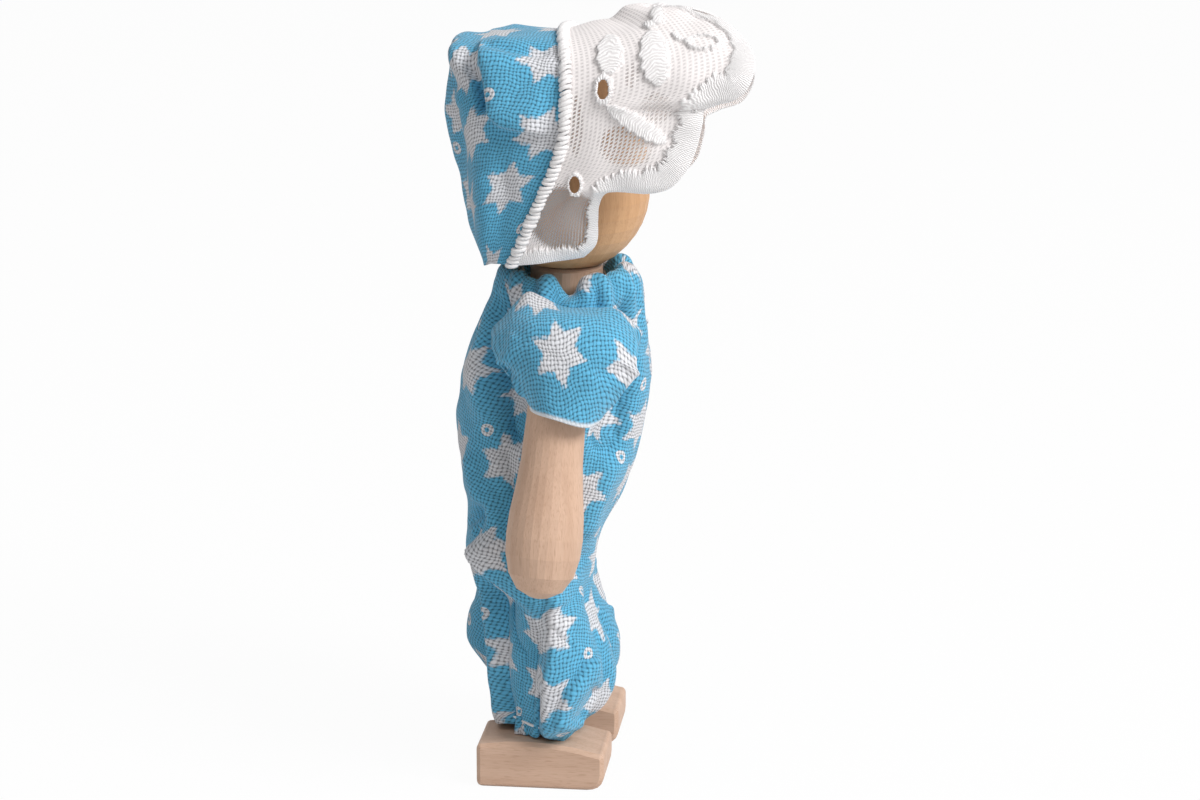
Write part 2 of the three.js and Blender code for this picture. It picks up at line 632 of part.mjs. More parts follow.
function makeCap() {
  const outer = capShares.map((share) => capRing(share, 0));
  const inner = capShares.map((share) => capRing(share, CLOTH));
  inner.unshift(capRing(0, CLOTH, 2));
  return faceted(solid(loft(outer)).subtract(solid(loft(inner))));
}

// Points of the arch from the right jaw over the crown to the left jaw
function archRing(half, top, low, y, steps = 18) {
  const right = [];
  for (let i = 0; i < steps; i += 1) {
    const z = THREE.MathUtils.lerp(bonnetBottom, top, Math.sin((i / steps) * (Math.PI / 2)));
    const height = i === 0 ? low : z;
    right.push(new THREE.Vector3(-archHalf(z, half, top), y, height));
  }
  const left = right.map((point) => point.clone().setX(-point.x)).reverse();
  return [...right, new THREE.Vector3(0, y, top), ...left];
}

// Direction that points out of the bonnet, square to the arch, at one of its points
function archOut(arch, i) {
  const before = arch[Math.max(i - 1, 0)];
  const after = arch[Math.min(i + 1, arch.length - 1)];
  const run = after.clone().sub(before).normalize();
  return new THREE.Vector3(-run.z, 0, run.x);
}

// Edge of the brim up the right side to the crown: place along the arch, then x, y and height.
// It runs up the cheek strip, round the lower scallop to the notch, and round the upper one.
const bonnetHeight = bonnetTop - bonnetBottom;
const brimEdge = smooth([
  [0, 0.87, 0.64 * BRIM_CHEEK, 0.08 * bonnetHeight],
  [0.04, 0.93, BRIM_CHEEK, 0.26 * bonnetHeight],
  [0.09, 0.97, 1.18 * BRIM_CHEEK, 0.39 * bonnetHeight],
  [0.11, 1, 0.46 * BRIM_REACH, 0.41 * bonnetHeight],
  [0.14, 1.02, 0.65 * BRIM_REACH, 0.4 * bonnetHeight],
  [0.165, 1.04, 0.83 * BRIM_REACH, 0.42 * bonnetHeight],
  [0.185, 1.05, 0.94 * BRIM_REACH, 0.5 * bonnetHeight],
  [0.206, 1.04, BRIM_REACH, 0.58 * bonnetHeight],
  [0.227, 1.02, 1.04 * BRIM_REACH, 0.69 * bonnetHeight],
  [0.244, 0.98, 1.06 * BRIM_REACH, 0.76 * bonnetHeight],
  [0.261, 1.03, 0.85 * BRIM_PEAK, 0.79 * bonnetHeight],
  [0.286, 1.05, 0.965 * BRIM_PEAK, 0.82 * bonnetHeight],
  [0.311, 1.03, 1.03 * BRIM_PEAK, 0.9 * bonnetHeight],
  [0.35, 0.87, 1.02 * BRIM_PEAK, 0.98 * bonnetHeight],
  [0.385, 0.67, 0.965 * BRIM_PEAK, bonnetHeight + 0.32 * BRIM_RISE],
  [0.43, 0.46, 0.85 * BRIM_PEAK, bonnetHeight + 0.8 * BRIM_RISE],
  [0.47, 0.22, 0.65 * BRIM_PEAK, bonnetHeight + BRIM_RISE],
  [0.5, 0, 0.46 * BRIM_PEAK, bonnetHeight + BRIM_RISE],
]);

// Point of the brim's edge at a place from the right jaw (0) over the crown to the left jaw (1)
function brimEdgeAt(place) {
  const left = place > 0.5;
  const [across, ahead, up] = brimEdge(left ? 1 - place : place);
  const wing = left ? Math.sin(2 * Math.PI * (place - 0.5)) : 0;
  const x = (left ? 1 : -1) * across * BONNET_WIDTH / 2;
  return new THREE.Vector3(x, -ahead, bonnetBottom + up - BRIM_DROOP * wing);
}

// Lace brim: drawn forward from the seam to a scalloped edge, and bowed out on its way
function makeBrim() {
  const low = bonnetBottom + 0.03 * bonnetHeight;
  const seam = archRing(BONNET_WIDTH / 2, bonnetTop, low, 0, 30);
  const steps = 6;
  return loft(seam.map((point, i) => {
    const from = point.clone().setY(seamY(point.z) - CLEARANCE / 2);
    const to = brimEdgeAt(i / (seam.length - 1));
    const out = archOut(seam, i);
    const outer = [];
    for (let step = 0; step <= steps; step += 1) {
      const share = step / steps;
      const bow = BRIM_SWELL * Math.sin(Math.PI * share) ** 2;
      outer.push(from.clone().lerp(to, share).addScaledVector(out, bow));
    }
    const inner = outer.map((place) => place.clone().addScaledVector(out, -LACE)).reverse();
    return [...outer, ...inner];
  }));
}

// Overlocked seam: a band of stitches over the joint of cap and brim
function makeSeam() {
  const path = archRing(BONNET_WIDTH / 2, bonnetTop, bonnetBottom + CLEARANCE, 0, 26);
  const rings = path.map((point, i) => {
    const out = archOut(path, i);
    const thickness = SEAM_THICKNESS * (i % 2 === 0 ? 1 : 0.65);
    const y = seamY(point.z);
    const corner = (across, up) => {
      const place = point.clone().setY(y + across * SEAM_WIDTH / 2);
      return place.addScaledVector(out, CLEARANCE + up * thickness);
    };
    return [corner(-1, 0), corner(1, 0), corner(1, 1), corner(-1, 1)];
  });
  return loft(rings);
}

// The wooden doll
add('torso', makeTorso(), MAPLE);
const pegTop = neckTop + PEG_IN_HEAD;
add('neck_peg', barZ(PEG_DIAMETER / 2, neckTop - PEG_IN_NECK, pegTop, 0, 0, 16), PINK_BEECH);
add('head', makeHead(), HONEY_MAPLE);
const sides = [['right', -1], ['left', 1]];
sides.forEach(([name, side]) => {
  add(`${name}_arm`, makeArm(side), MAPLE);
  add(`${name}_leg`, makeLeg(side), PINK_BEECH);
  add(`${name}_foot`, makeFoot(side), PINK_BEECH);
});
add('shoulder_cord', makeCord(shoulder, shoulderX + armRadius), ELASTIC);
add('hip_cord', makeCord(hip, legX + legRadius), ELASTIC);

// The romper
add('romper_bodice', makeBodice(), BLUE_COTTON);
add('neck_gather_thread', makeThread(bodiceRing(neckline, 0)), WHITE_THREAD);
sides.forEach(([name, side]) => {
  const thread = makeThread(trouserRing(1, 0, side));
  add(`${name}_sleeve`, makeSleeve(side), BLUE_COTTON);
  add(`${name}_trouser`, makeTrouser(side), BLUE_COTTON);
  add(`${name}_ankle_thread`, side < 0 ? mirrored(thread) : thread, WHITE_THREAD);
});

// The bonnet
add('bonnet_cap', makeCap(), BLUE_COTTON);
add('lace_brim', makeBrim(), WHITE_LAWN);
add('brim_seam_thread', makeSeam(), WHITE_THREAD);

// The origin is the middle of the floor rectangle under the doll
const extent = new THREE.Box3().setFromObject(doll);
const middle = extent.getCenter(new THREE.Vector3());
doll.position.set(-middle.x, -middle.y, -extent.min.z);

export default doll;
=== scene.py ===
import math

import bmesh
import bpy
import numpy as np
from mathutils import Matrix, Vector, kdtree, noise


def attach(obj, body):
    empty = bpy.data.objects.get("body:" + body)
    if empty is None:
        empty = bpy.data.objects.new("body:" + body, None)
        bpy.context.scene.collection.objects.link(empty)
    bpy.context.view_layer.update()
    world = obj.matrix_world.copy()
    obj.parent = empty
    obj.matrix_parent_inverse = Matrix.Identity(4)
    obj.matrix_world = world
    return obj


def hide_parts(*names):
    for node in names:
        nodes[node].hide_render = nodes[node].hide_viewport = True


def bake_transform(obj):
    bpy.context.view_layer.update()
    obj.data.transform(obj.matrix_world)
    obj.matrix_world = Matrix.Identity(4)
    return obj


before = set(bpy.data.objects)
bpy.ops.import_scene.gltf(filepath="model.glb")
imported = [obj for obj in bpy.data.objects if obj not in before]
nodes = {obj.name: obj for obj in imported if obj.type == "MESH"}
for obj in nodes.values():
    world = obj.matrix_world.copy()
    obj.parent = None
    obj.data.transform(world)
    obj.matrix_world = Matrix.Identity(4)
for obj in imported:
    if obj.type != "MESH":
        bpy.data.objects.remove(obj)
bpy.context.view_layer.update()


# The torso, head, arms and legs are turned from pale beech and the peg is a dowel of the same wood.
# They are sanded smooth and only oiled, so short dark ray flecks show along the grain.
IN_MM = 1000.0
ARM_WOOD = (0.640, 0.430, 0.310, 1.0)
ARM_FLECK = (0.430, 0.255, 0.165, 1.0)
HEAD_WOOD = (0.640, 0.375, 0.195, 1.0)
HEAD_FLECK = (0.450, 0.225, 0.100, 1.0)
FOOT_WOOD = (0.635, 0.432, 0.318, 1.0)
# Scales per mm of the ray flecks, the growth bands and the fibres, across and along the grain.
FLECK_SCALE = (6.5, 6.5, 0.75)
BAND_SCALE = (0.55, 0.55, 0.035)
FIBRE_SCALE = (9.0, 9.0, 0.3)


def wire(tree, kind, inputs=None, **settings):
    """Adds a node; a value in inputs is either a number or the socket that feeds it."""
    node = tree.nodes.new(kind)
    for name, value in settings.items():
        setattr(node, name, value)
    for key, value in (inputs or {}).items():
        if isinstance(value, bpy.types.NodeSocket):
            tree.links.new(value, node.inputs[key])
        else:
            node.inputs[key].default_value = value
    return node


def sum_of(tree, operation, first, second=0.0, third=0.0):
    """One step of arithmetic in a node tree."""
    return wire(tree, "ShaderNodeMath", {0: first, 1: second, 2: third}, operation=operation).outputs[0]


def ramp_of(tree, value, low, high, to_low=0.0, to_high=1.0):
    """A soft step of value between low and high."""
    step = {"Value": value, "From Min": low, "From Max": high, "To Min": to_low, "To Max": to_high}
    return wire(tree, "ShaderNodeMapRange", step, interpolation_type="SMOOTHSTEP").outputs[0]


def tint(tree, share, first, second, blend="MIX"):
    """Mixes two colours by a share."""
    node = wire(tree, "ShaderNodeMix", data_type="RGBA", blend_type=blend)
    for key, value in (("Factor_Float", share), ("A_Color", first), ("B_Color", second)):
        place = next(one for one in node.inputs if one.identifier == key)
        if isinstance(value, bpy.types.NodeSocket):
            tree.links.new(value, place)
        else:
            place.default_value = value
    return next(one for one in node.outputs if one.identifier == "Result_Color")


def new_group(name, inputs, outputs):
    """A node group with named sockets, its input node and its output node."""
    group = bpy.data.node_groups.new(name, "ShaderNodeTree")
    for way, sockets in (("INPUT", inputs), ("OUTPUT", outputs)):
        for label, kind in sockets.items():
            group.interface.new_socket(name=label, socket_type="NodeSocket" + kind, in_out=way)
    return group, group.nodes.new("NodeGroupInput"), group.nodes.new("NodeGroupOutput")


FINISH = {"Colour": "Color", "Height": "Float", "Roughness": "Float"}
beech, given, result = new_group(
    "beech_grain", {"Place": "Vector", "Wood": "Color", "Fleck": "Color"}, FINISH)


def grain_of(scale, detail):
    """Noise drawn out along the grain."""
    drawn_out = wire(beech, "ShaderNodeMapping", {"Vector": given.outputs["Place"], "Scale": scale})
    return wire(beech, "ShaderNodeTexNoise", {
        "Vector": drawn_out.outputs[0], "Scale": 1.0, "Detail": detail}).outputs["Fac"]


fleck_share = ramp_of(beech, grain_of(FLECK_SCALE, 1.5), 0.52, 0.72)
band_share = ramp_of(beech, grain_of(BAND_SCALE, 3.0), 0.35, 0.68, 0.0, 0.34)
fibre = grain_of(FIBRE_SCALE, 2.0)
fibre_share = ramp_of(beech, fibre, 0.40, 0.75, 0.0, 0.22)
banded = tint(beech, band_share, given.outputs["Wood"], given.outputs["Fleck"])
fibrous = tint(beech, fibre_share, banded, given.outputs["Fleck"])
flecked = tint(beech, sum_of(beech, "MULTIPLY", fleck_share, 0.42), fibrous, given.outputs["Fleck"])
hollow = sum_of(beech, "ADD", sum_of(beech, "MULTIPLY", fleck_share, -0.5), fibre)
beech.links.new(flecked, result.inputs["Colour"])
beech.links.new(hollow, result.inputs["Height"])
beech.links.new(ramp_of(beech, fibre, 0.3, 0.7, 0.46, 0.60), result.inputs["Roughness"])


def new_finish(name):
    """A material, its node tree and its surface node."""
    material = bpy.data.materials.new(name)
    material.use_nodes = True
    tree = material.node_tree
    return material, tree, tree.nodes["Principled BSDF"]


UPRIGHT = (0.0, 0.0, 0.0)
LYING = (math.pi / 2, 0.0, 0.0)


def place_mm(tree, turn=UPRIGHT):
    """The place on a piece in mm."""
    place = wire(tree, "ShaderNodeTexCoord").outputs["Object"]
    return wire(tree, "ShaderNodeMapping", {
        "Vector": place, "Rotation": turn, "Scale": (IN_MM, IN_MM, IN_MM)}).outputs[0]


def wood_finish(name, wood, fleck_colour, turn):
    """An oiled beech whose grain runs along Z before the turn."""
    material, tree, surface = new_finish(name)
    grain = wire(tree, "ShaderNodeGroup", node_tree=beech)
    tree.links.new(place_mm(tree, turn), grain.inputs["Place"])
    grain.inputs["Wood"].default_value = wood
    grain.inputs["Fleck"].default_value = fleck_colour
    bump = wire(tree, "ShaderNodeBump", {
        "Strength": 0.12, "Distance": 0.0001, "Height": grain.outputs["Height"]})
    tree.links.new(grain.outputs["Colour"], surface.inputs["Base Color"])
    tree.links.new(grain.outputs["Roughness"], surface.inputs["Roughness"])
    tree.links.new(bump.outputs[0], surface.inputs["Normal"])
    surface.inputs["Specular IOR Level"].default_value = 0.35
    return material


def finish_node(name, material):
    """Gives a solid its material and a smooth shading."""
    piece = nodes[name]
    piece.data.materials.clear()
    piece.data.materials.append(material)
    piece.data.polygons.foreach_set("use_smooth", [True] * len(piece.data.polygons))


limb_beech = wood_finish("limb_beech", ARM_WOOD, ARM_FLECK, UPRIGHT)
head_beech = wood_finish("head_beech", HEAD_WOOD, HEAD_FLECK, UPRIGHT)
foot_beech = wood_finish("foot_beech", FOOT_WOOD, ARM_FLECK, LYING)
for name in ("torso", "neck_peg", "right_arm", "left_arm", "right_leg", "left_leg"):
    finish_node(name, limb_beech)
finish_node("head", head_beech)
for name in ("right_foot", "left_foot"):
    finish_node(name, foot_beech)


# Two round elastics run through the shoulders and hips, knotted in the limbs' outer holes.
# They are woven over rubber, so a fine spiral of thread shows on them.
ELASTIC_SHADE = (0.52, 0.50, 0.48, 1)
ELASTIC_WHITE = (0.80, 0.79, 0.77, 1)
elastic, tree, surface = new_finish("white_elastic")
spiral = wire(tree, "ShaderNodeTexWave", {"Vector": place_mm(tree), "Scale": 1.3, "Distortion": 1.0})
tree.links.new(tint(tree, spiral.outputs["Fac"], ELASTIC_SHADE, ELASTIC_WHITE), surface.inputs["Base Color"])
tree.links.new(ramp_of(tree, spiral.outputs["Fac"], 0.0, 1.0, 0.6, 0.8), surface.inputs["Roughness"])
cord_bump = wire(tree, "ShaderNodeBump", {
    "Strength": 0.4, "Distance": 0.0001, "Height": spiral.outputs["Fac"]})
tree.links.new(cord_bump.outputs[0], surface.inputs["Normal"])
for name in ("shoulder_cord", "hip_cord"):
    finish_node(name, elastic)


# The romper is one garment of thin plain-woven cotton, printed with white stars and small rings.
# It is cut as a right and a left half, sewn at the middle, gathered round the neck and the ankles.
AXIS_Y = 3.833
THREAD_PITCH = 0.43
STAR_SPACING = 9.0
STAR_TIP = 3.4
STAR_WAIST = 1.95
RING_OUTSIDE = 0.80
RING_HOLE = 0.30
COTTON_BLUE = (0.100, 0.372, 0.565, 1.0)
COTTON_WHITE = (0.600, 0.605, 0.635, 1.0)
RAW_WHITE = (0.72, 0.75, 0.79, 1.0)
CLOTH_THICK = 0.32
MM = 0.001
# How far the print's edge frays and the threads sway, in mm, how far a thread dips under the next, and how
# dark the gaps between threads are painted as shade.
PRINT_FRAY = 0.9
THREAD_SWAY = 0.9
THREAD_DIP = 0.35
GAP_SHADE = 0.50
# The star has six points with soft edges; its motifs stray from even rows, and some rings are missing.
HALF_POINT = math.pi / 6
STAR_SOFT = 0.35
STAR_LOOSENESS = 0.34
RING_LOOSENESS = 0.3
RING_MISSING = 0.36


def vector_of(tree, operation, *values):
    """One step of arithmetic on vectors in a node tree."""
    return wire(tree, "ShaderNodeVectorMath", dict(enumerate(values)), operation=operation).outputs[0]


def scaled(tree, vector, factor):
    """A vector or a colour times a number."""
    return wire(tree, "ShaderNodeVectorMath", {0: vector, "Scale": factor}, operation="SCALE").outputs[0]


def length_of(tree, vector):
    """The length of a vector."""
    return wire(tree, "ShaderNodeVectorMath", {0: vector}, operation="LENGTH").outputs["Value"]


def threads_of(tree, place, pitch):
    """Counts threads a pitch apart: the count both ways, each thread's round back, and the whole count."""
    counted = scaled(tree, place, 1.0 / pitch)
    count = wire(tree, "ShaderNodeSeparateXYZ", {0: counted}).outputs
    rounds = [sum_of(tree, "SINE", sum_of(tree, "MULTIPLY", sum_of(tree, "FRACT", count[k]), math.pi))
              for k in (0, 1)]
    return count, *rounds, vector_of(tree, "FLOOR", counted)


weave, given, result = new_group(
    "printed_cotton", {"Flat": "Vector", "Blue": "Color", "White": "Color"}, FINISH)
flat = given.outputs["Flat"]
snapped = vector_of(weave, "SNAP", flat, (THREAD_PITCH, THREAD_PITCH, 1.0))
halfway = scaled(weave, vector_of(weave, "ADD", flat, snapped), 0.5)
fray = wire(weave, "ShaderNodeTexNoise", {"Vector": flat, "Scale": 1.6, "Detail": 2.0})
frayed = vector_of(weave, "SUBTRACT", fray.outputs["Color"], (0.5, 0.5, 0.5))
stepped = vector_of(weave, "MULTIPLY_ADD", frayed, (PRINT_FRAY, PRINT_FRAY, 0.0), halfway)


def scattered(tree, place, shift, looseness):
    """The offset in mm from the nearest motif's middle, and its own random colour."""
    cells = scaled(tree, vector_of(tree, "ADD", place, (shift, shift, 0.0)), 1.0 / STAR_SPACING)
    motif = wire(tree, "ShaderNodeTexVoronoi", {
        "Vector": cells, "Scale": 1.0, "Randomness": looseness}, voronoi_dimensions="2D")
    away = vector_of(tree, "SUBTRACT", cells, motif.outputs["Position"])
    return scaled(tree, away, STAR_SPACING), motif.outputs["Color"]


star_offset, star_random = scattered(weave, stepped, 0.0, STAR_LOOSENESS)
chance = wire(weave, "ShaderNodeSeparateColor", {0: star_random})
spin = sum_of(weave, "MULTIPLY", chance.outputs[0], math.pi)
turned = wire(weave, "ShaderNodeVectorRotate", {"Vector": star_offset, "Angle": spin},
              rotation_type="Z_AXIS")
across = wire(weave, "ShaderNodeSeparateXYZ", {0: turned.outputs[0]})
reach = length_of(weave, star_offset)
bearing = sum_of(weave, "ARCTAN2", across.outputs[1], across.outputs[0])
wedge = sum_of(weave, "PINGPONG", bearing, HALF_POINT)
point_x = sum_of(weave, "MULTIPLY", reach, sum_of(weave, "COSINE", wedge))
point_y = sum_of(weave, "MULTIPLY", reach, sum_of(weave, "SINE", wedge))
edge_x = STAR_WAIST * math.cos(HALF_POINT) - STAR_TIP
edge_y = STAR_WAIST * math.sin(HALF_POINT)
inside = sum_of(weave, "SUBTRACT",
                sum_of(weave, "MULTIPLY", point_y, edge_x),
                sum_of(weave, "MULTIPLY", sum_of(weave, "SUBTRACT", point_x, STAR_TIP), edge_y))
star = ramp_of(weave, inside, -STAR_SOFT, STAR_SOFT)
ring_offset, ring_random = scattered(weave, flat, STAR_SPACING / 2, RING_LOOSENESS)
ring_reach = length_of(weave, ring_offset)
ring = sum_of(weave, "MULTIPLY",
              sum_of(weave, "LESS_THAN", ring_reach, RING_OUTSIDE),
              sum_of(weave, "GREATER_THAN", ring_reach, RING_HOLE))
ring_chance = wire(weave, "ShaderNodeSeparateColor", {0: ring_random})
ring_there = sum_of(weave, "GREATER_THAN", ring_chance.outputs[1], RING_MISSING)
ring = sum_of(weave, "MULTIPLY", ring, ring_there)
printed = sum_of(weave, "MAXIMUM", star, ring)

sway = wire(weave, "ShaderNodeTexNoise", {"Vector": flat, "Scale": 0.45, "Detail": 1.0})
swayed = vector_of(weave, "MULTIPLY_ADD", sway.outputs["Color"], (THREAD_SWAY, THREAD_SWAY, 0.0), flat)
count, warp, weft, whole = threads_of(weave, swayed, THREAD_PITCH)
parity = sum_of(weave, "MODULO", sum_of(
    weave, "ADD", sum_of(weave, "FLOOR", count[0]), sum_of(weave, "FLOOR", count[1])), 2.0)
over = sum_of(weave, "ABSOLUTE", parity)
warp_top, weft_top = (
    sum_of(weave, "MULTIPLY", one, sum_of(weave, "MULTIPLY_ADD", other, THREAD_DIP, 1.0 - THREAD_DIP))
    for one, other in ((warp, weft), (weft, warp)))
woven = sum_of(weave, "ADD",
               sum_of(weave, "MULTIPLY", warp_top, over),
               sum_of(weave, "MULTIPLY", weft_top, sum_of(weave, "SUBTRACT", 1.0, over)))
# Painted light: each thread's top is painted lighter and its dips darker, and the gaps between the threads
# are painted in shade.
gap = ramp_of(weave, sum_of(weave, "MAXIMUM", warp, weft), 0.40, 0.78, 1.0, 0.0)
slub = wire(weave, "ShaderNodeTexWhiteNoise", {"Vector": whole}, noise_dimensions="2D")
cloth_colour = tint(weave, printed, given.outputs["Blue"], given.outputs["White"])
shade = ramp_of(weave, woven, 0.1, 0.95, 0.80, 1.22)
thread_shade_and_slub = sum_of(weave, "MULTIPLY", shade, sum_of(
    weave, "MULTIPLY_ADD", slub.outputs["Value"], 0.14, 0.93))
lit = scaled(weave, cloth_colour, thread_shade_and_slub)
gap_shade_colour = scaled(weave, lit, GAP_SHADE)
weave.links.new(tint(weave, gap, lit, gap_shade_colour), result.inputs["Colour"])
weave.links.new(woven, result.inputs["Height"])
weave.links.new(ramp_of(weave, woven, 0.0, 1.0, 0.95, 0.78), result.inputs["Roughness"])


def cotton_finish(name, shift, turn):
    """The printed cotton, with the print moved and turned to where this piece was cut."""
    material, tree, surface = new_finish(name)
    flat_place = wire(tree, "ShaderNodeUVMap", uv_map="flat").outputs[0]
    cut = wire(tree, "ShaderNodeMapping", {
        "Vector": flat_place, "Location": (*shift, 0.0), "Rotation": (0.0, 0.0, turn)})
    cotton = wire(tree, "ShaderNodeGroup", node_tree=weave)
    tree.links.new(cut.outputs[0], cotton.inputs["Flat"])
    cotton.inputs["Blue"].default_value = COTTON_BLUE
    cotton.inputs["White"].default_value = COTTON_WHITE
    bump = wire(tree, "ShaderNodeBump", {
        "Strength": 0.55, "Distance": 0.00012, "Height": cotton.outputs["Height"]})
    raw_edge = wire(tree, "ShaderNodeAttribute", attribute_name="raw").outputs["Fac"]
    tree.links.new(tint(tree, raw_edge, cotton.outputs["Colour"], RAW_WHITE), surface.inputs["Base Color"])
    tree.links.new(cotton.outputs["Roughness"], surface.inputs["Roughness"])
    tree.links.new(bump.outputs[0], surface.inputs["Normal"])
    surface.inputs["Specular IOR Level"].default_value = 0.2
    surface.inputs["Sheen Weight"].default_value = 0.25
    return material


def follow(rows):
    """A smooth run through rows; the first number of each row is how far along it lies."""
    table = np.array(rows, float)
    stations = table[:, 0]
    values = table[:, 1:]
    slopes = np.gradient(values, stations, axis=0)

    def at(where):
        where = np.clip(np.asarray(where, float), stations[0], stations[-1])
        k = np.clip(np.searchsorted(stations, where, side="right") - 1, 0, len(stations) - 2)
        gap_here = (stations[k + 1] - stations[k])[..., None]
        f = ((where - stations[k])[..., None]) / gap_here
        start = (2 * f**3 - 3 * f**2 + 1) * values[k] + (f**3 - 2 * f**2 + f) * gap_here * slopes[k]
        stop = (3 * f**2 - 2 * f**3) * values[k + 1] + (f**3 - f**2) * gap_here * slopes[k + 1]
        return start + stop

    return at


def ease(value, low, high):
    """A soft step from 0 at low to 1 at high."""
    f = np.clip((value - low) / (high - low), 0.0, 1.0)
    return f * f * (3 - 2 * f)


def fold(y, z, line, height, left, right):
    """How far a fold along a line lifts the cloth; its slopes left and right of the line differ."""
    line = np.array(line, float)
    lengths = np.hypot(*np.diff(line, axis=0).T)
    run = np.concatenate([[0.0], np.cumsum(lengths)])
    nearest = np.full(y.shape, 1e9)
    side = np.zeros(y.shape)
    share = np.zeros(y.shape)
    for k in range(len(line) - 1):
        step = line[k + 1] - line[k]
        away_y = y - line[k, 0]
        away_z = z - line[k, 1]
        f = np.clip((away_y * step[0] + away_z * step[1]) / (lengths[k] ** 2), 0.0, 1.0)
        distance = np.hypot(away_y - f * step[0], away_z - f * step[1])
        closer = distance < nearest
        nearest = np.where(closer, distance, nearest)
        side = np.where(closer, step[0] * away_z - step[1] * away_y, side)
        share = np.where(closer, (run[k] + f * lengths[k]) / run[-1], share)
    width = np.where(side > 0, right, left)
    ends = ease(share, 0.0, 0.18) * ease(1.0 - share, 0.0, 0.18)
    return height * np.exp(-((nearest / width) ** 2)) * (0.15 + 0.85 * ends)


def grid_normals(grid):
    """The way that the cloth faces at each point of a grid."""
    down = np.gradient(grid, axis=0)
    over_ = np.gradient(grid, axis=1)
    facing = np.cross(over_, down)
    return facing / np.maximum(np.linalg.norm(facing, axis=2, keepdims=True), 1e-9)


def flat_lengths(grid):
    """The flat pattern's place in mm of each point: the mean run along and across the grid."""
    over_ = np.linalg.norm(np.diff(grid, axis=1), axis=2)
    down = np.linalg.norm(np.diff(grid, axis=0), axis=2)
    width = np.concatenate([np.zeros((grid.shape[0], 1)), np.cumsum(over_, axis=1)], axis=1)
    middle = grid.shape[1] // 2
    width -= width[:, middle:middle + 1]
    length = np.concatenate([np.zeros((1, grid.shape[1])), np.cumsum(down, axis=0)], axis=0)
    length = 0.75 * length.mean(axis=1, keepdims=True) + 0.25 * length
    return np.stack([width, length], axis=2)


def settle(piece):
    """Turns a piece's modifiers into plain mesh."""
    bpy.context.view_layer.update()
    graph = bpy.context.evaluated_depsgraph_get()
    final = bpy.data.meshes.new_from_object(piece.evaluated_get(graph))
    piece.modifiers.clear()
    piece.data = final
    final.polygons.foreach_set("use_smooth", [True] * len(final.polygons))
    return piece


def drop_loose_points(mesh):
    """Drops the points that no face uses."""
    shape = bmesh.new()
    shape.from_mesh(mesh)
    bmesh.ops.delete(shape, geom=[v for v in shape.verts if not v.link_faces], context="VERTS")
    shape.to_mesh(mesh)
    shape.free()


def cloth_piece(name, grid, flat_grid, thick, kept=None, closed=False, values=None):
    """A sheet of cloth over a grid of points in mm, with its flat pattern as UVs and its thickness."""
    rows, columns = grid.shape[:2]
    points = grid.reshape(-1, 3).copy()
    points[:, 1] += AXIS_Y
    wrap = columns - 1 if closed else columns
    faces = []
    pattern = []
    for i in range(rows - 1):
        for j in range(columns - 1):
            if kept is not None and not kept[i, j]:
                continue
            corners = ((i, j), (i + 1, j), (i + 1, j + 1), (i, j + 1))
            faces.append([r * columns + (c % wrap) for r, c in corners])
            pattern.extend(flat_grid[r, c] for r, c in corners)
    mesh = bpy.data.meshes.new(name)
    mesh.from_pydata(points * MM, [], faces)
    mesh.uv_layers.new(name="flat").data.foreach_set("uv", np.array(pattern, np.float32).ravel())
    for key, numbers in (values or {}).items():
        layer = mesh.attributes.new(key, "FLOAT", "POINT")
        layer.data.foreach_set("value", numbers.astype(np.float32).ravel())
    piece = bpy.data.objects.new(name, mesh)
    bpy.context.collection.objects.link(piece)
    drop_loose_points(mesh)
    thickness = piece.modifiers.new("thickness", "SOLIDIFY")
    thickness.thickness = thick * MM
    thickness.offset = -1.0
    return settle(piece)


def waves(round_, seed, parts):
    """Ripples round a hem; each part is a count, a share of the seed and a height."""
    return sum(high * np.sin(count * round_ + share * seed) for count, share, high in parts)


def rumple(grid, shift, coarse, fine):
    """The uneven lie of a cloth; coarse and fine are each a scale per mm and a height in mm."""
    return np.array([
        noise.noise(Vector(p) * coarse[0] + Vector(shift)) * coarse[1]
        + noise.noise(Vector(p) * fine[0]) * fine[1]
        for p in grid.reshape(-1, 3)]).reshape(grid.shape[:2])


ROMPER_ROWS = 210
ROMPER_OUTER = 120
ROMPER_INNER = 44
# Each row: place along the garment, height, front, back, side, inner side, middle of the leg.
RIGHT_ROWS = (
    (0.000, 60.6, -5.6, 5.6, 5.4, 0.0, 0.0), (0.020, 62.3, -6.1, 6.1, 6.0, 0.0, 0.0),
    (0.036, 63.3, -6.9, 6.8, 6.6, 0.0, 0.0), (0.054, 63.1, -8.0, 7.7, 7.3, 0.0, 0.0),
    (0.075, 62.1, -8.8, 8.4, 7.9, 0.0, 0.0), (0.105, 60.2, -9.2, 9.0, 8.5, 0.0, 0.0),
    (0.150, 57.0, -9.5, 10.5, 9.0, 0.0, 0.0), (0.200, 54.0, -9.9, 11.8, 9.2, 0.0, 0.0),
    (0.270, 49.0, -10.1, 13.0, 9.2, 0.0, 0.0), (0.340, 44.0, -9.3, 13.2, 9.3, 0.0, 0.0),
    (0.410, 39.0, -8.1, 12.7, 9.8, 0.0, 0.0), (0.480, 34.0, -5.9, 12.3, 10.3, 0.0, 0.0),
    (0.540, 30.0, -4.0, 12.1, 10.4, 0.0, 0.0), (0.585, 27.0, -3.3, 11.9, 10.4, 0.0, 0.0),
    (0.640, 23.4, -2.9, 11.2, 10.7, 0.0, 1.8), (0.700, 20.0, -4.2, 10.0, 11.7, 0.5, 4.6),
    (0.780, 16.0, -6.0, 9.3, 12.4, 1.0, 6.4), (0.840, 13.0, -6.7, 9.0, 12.4, 1.2, 6.7),
    (0.900, 10.0, -5.6, 8.8, 12.4, 1.6, 6.9), (0.950, 7.7, -2.9, 8.5, 12.3, 2.2, 7.1),
    (1.000, 6.1, -1.2, 8.1, 12.0, 2.8, 7.2))
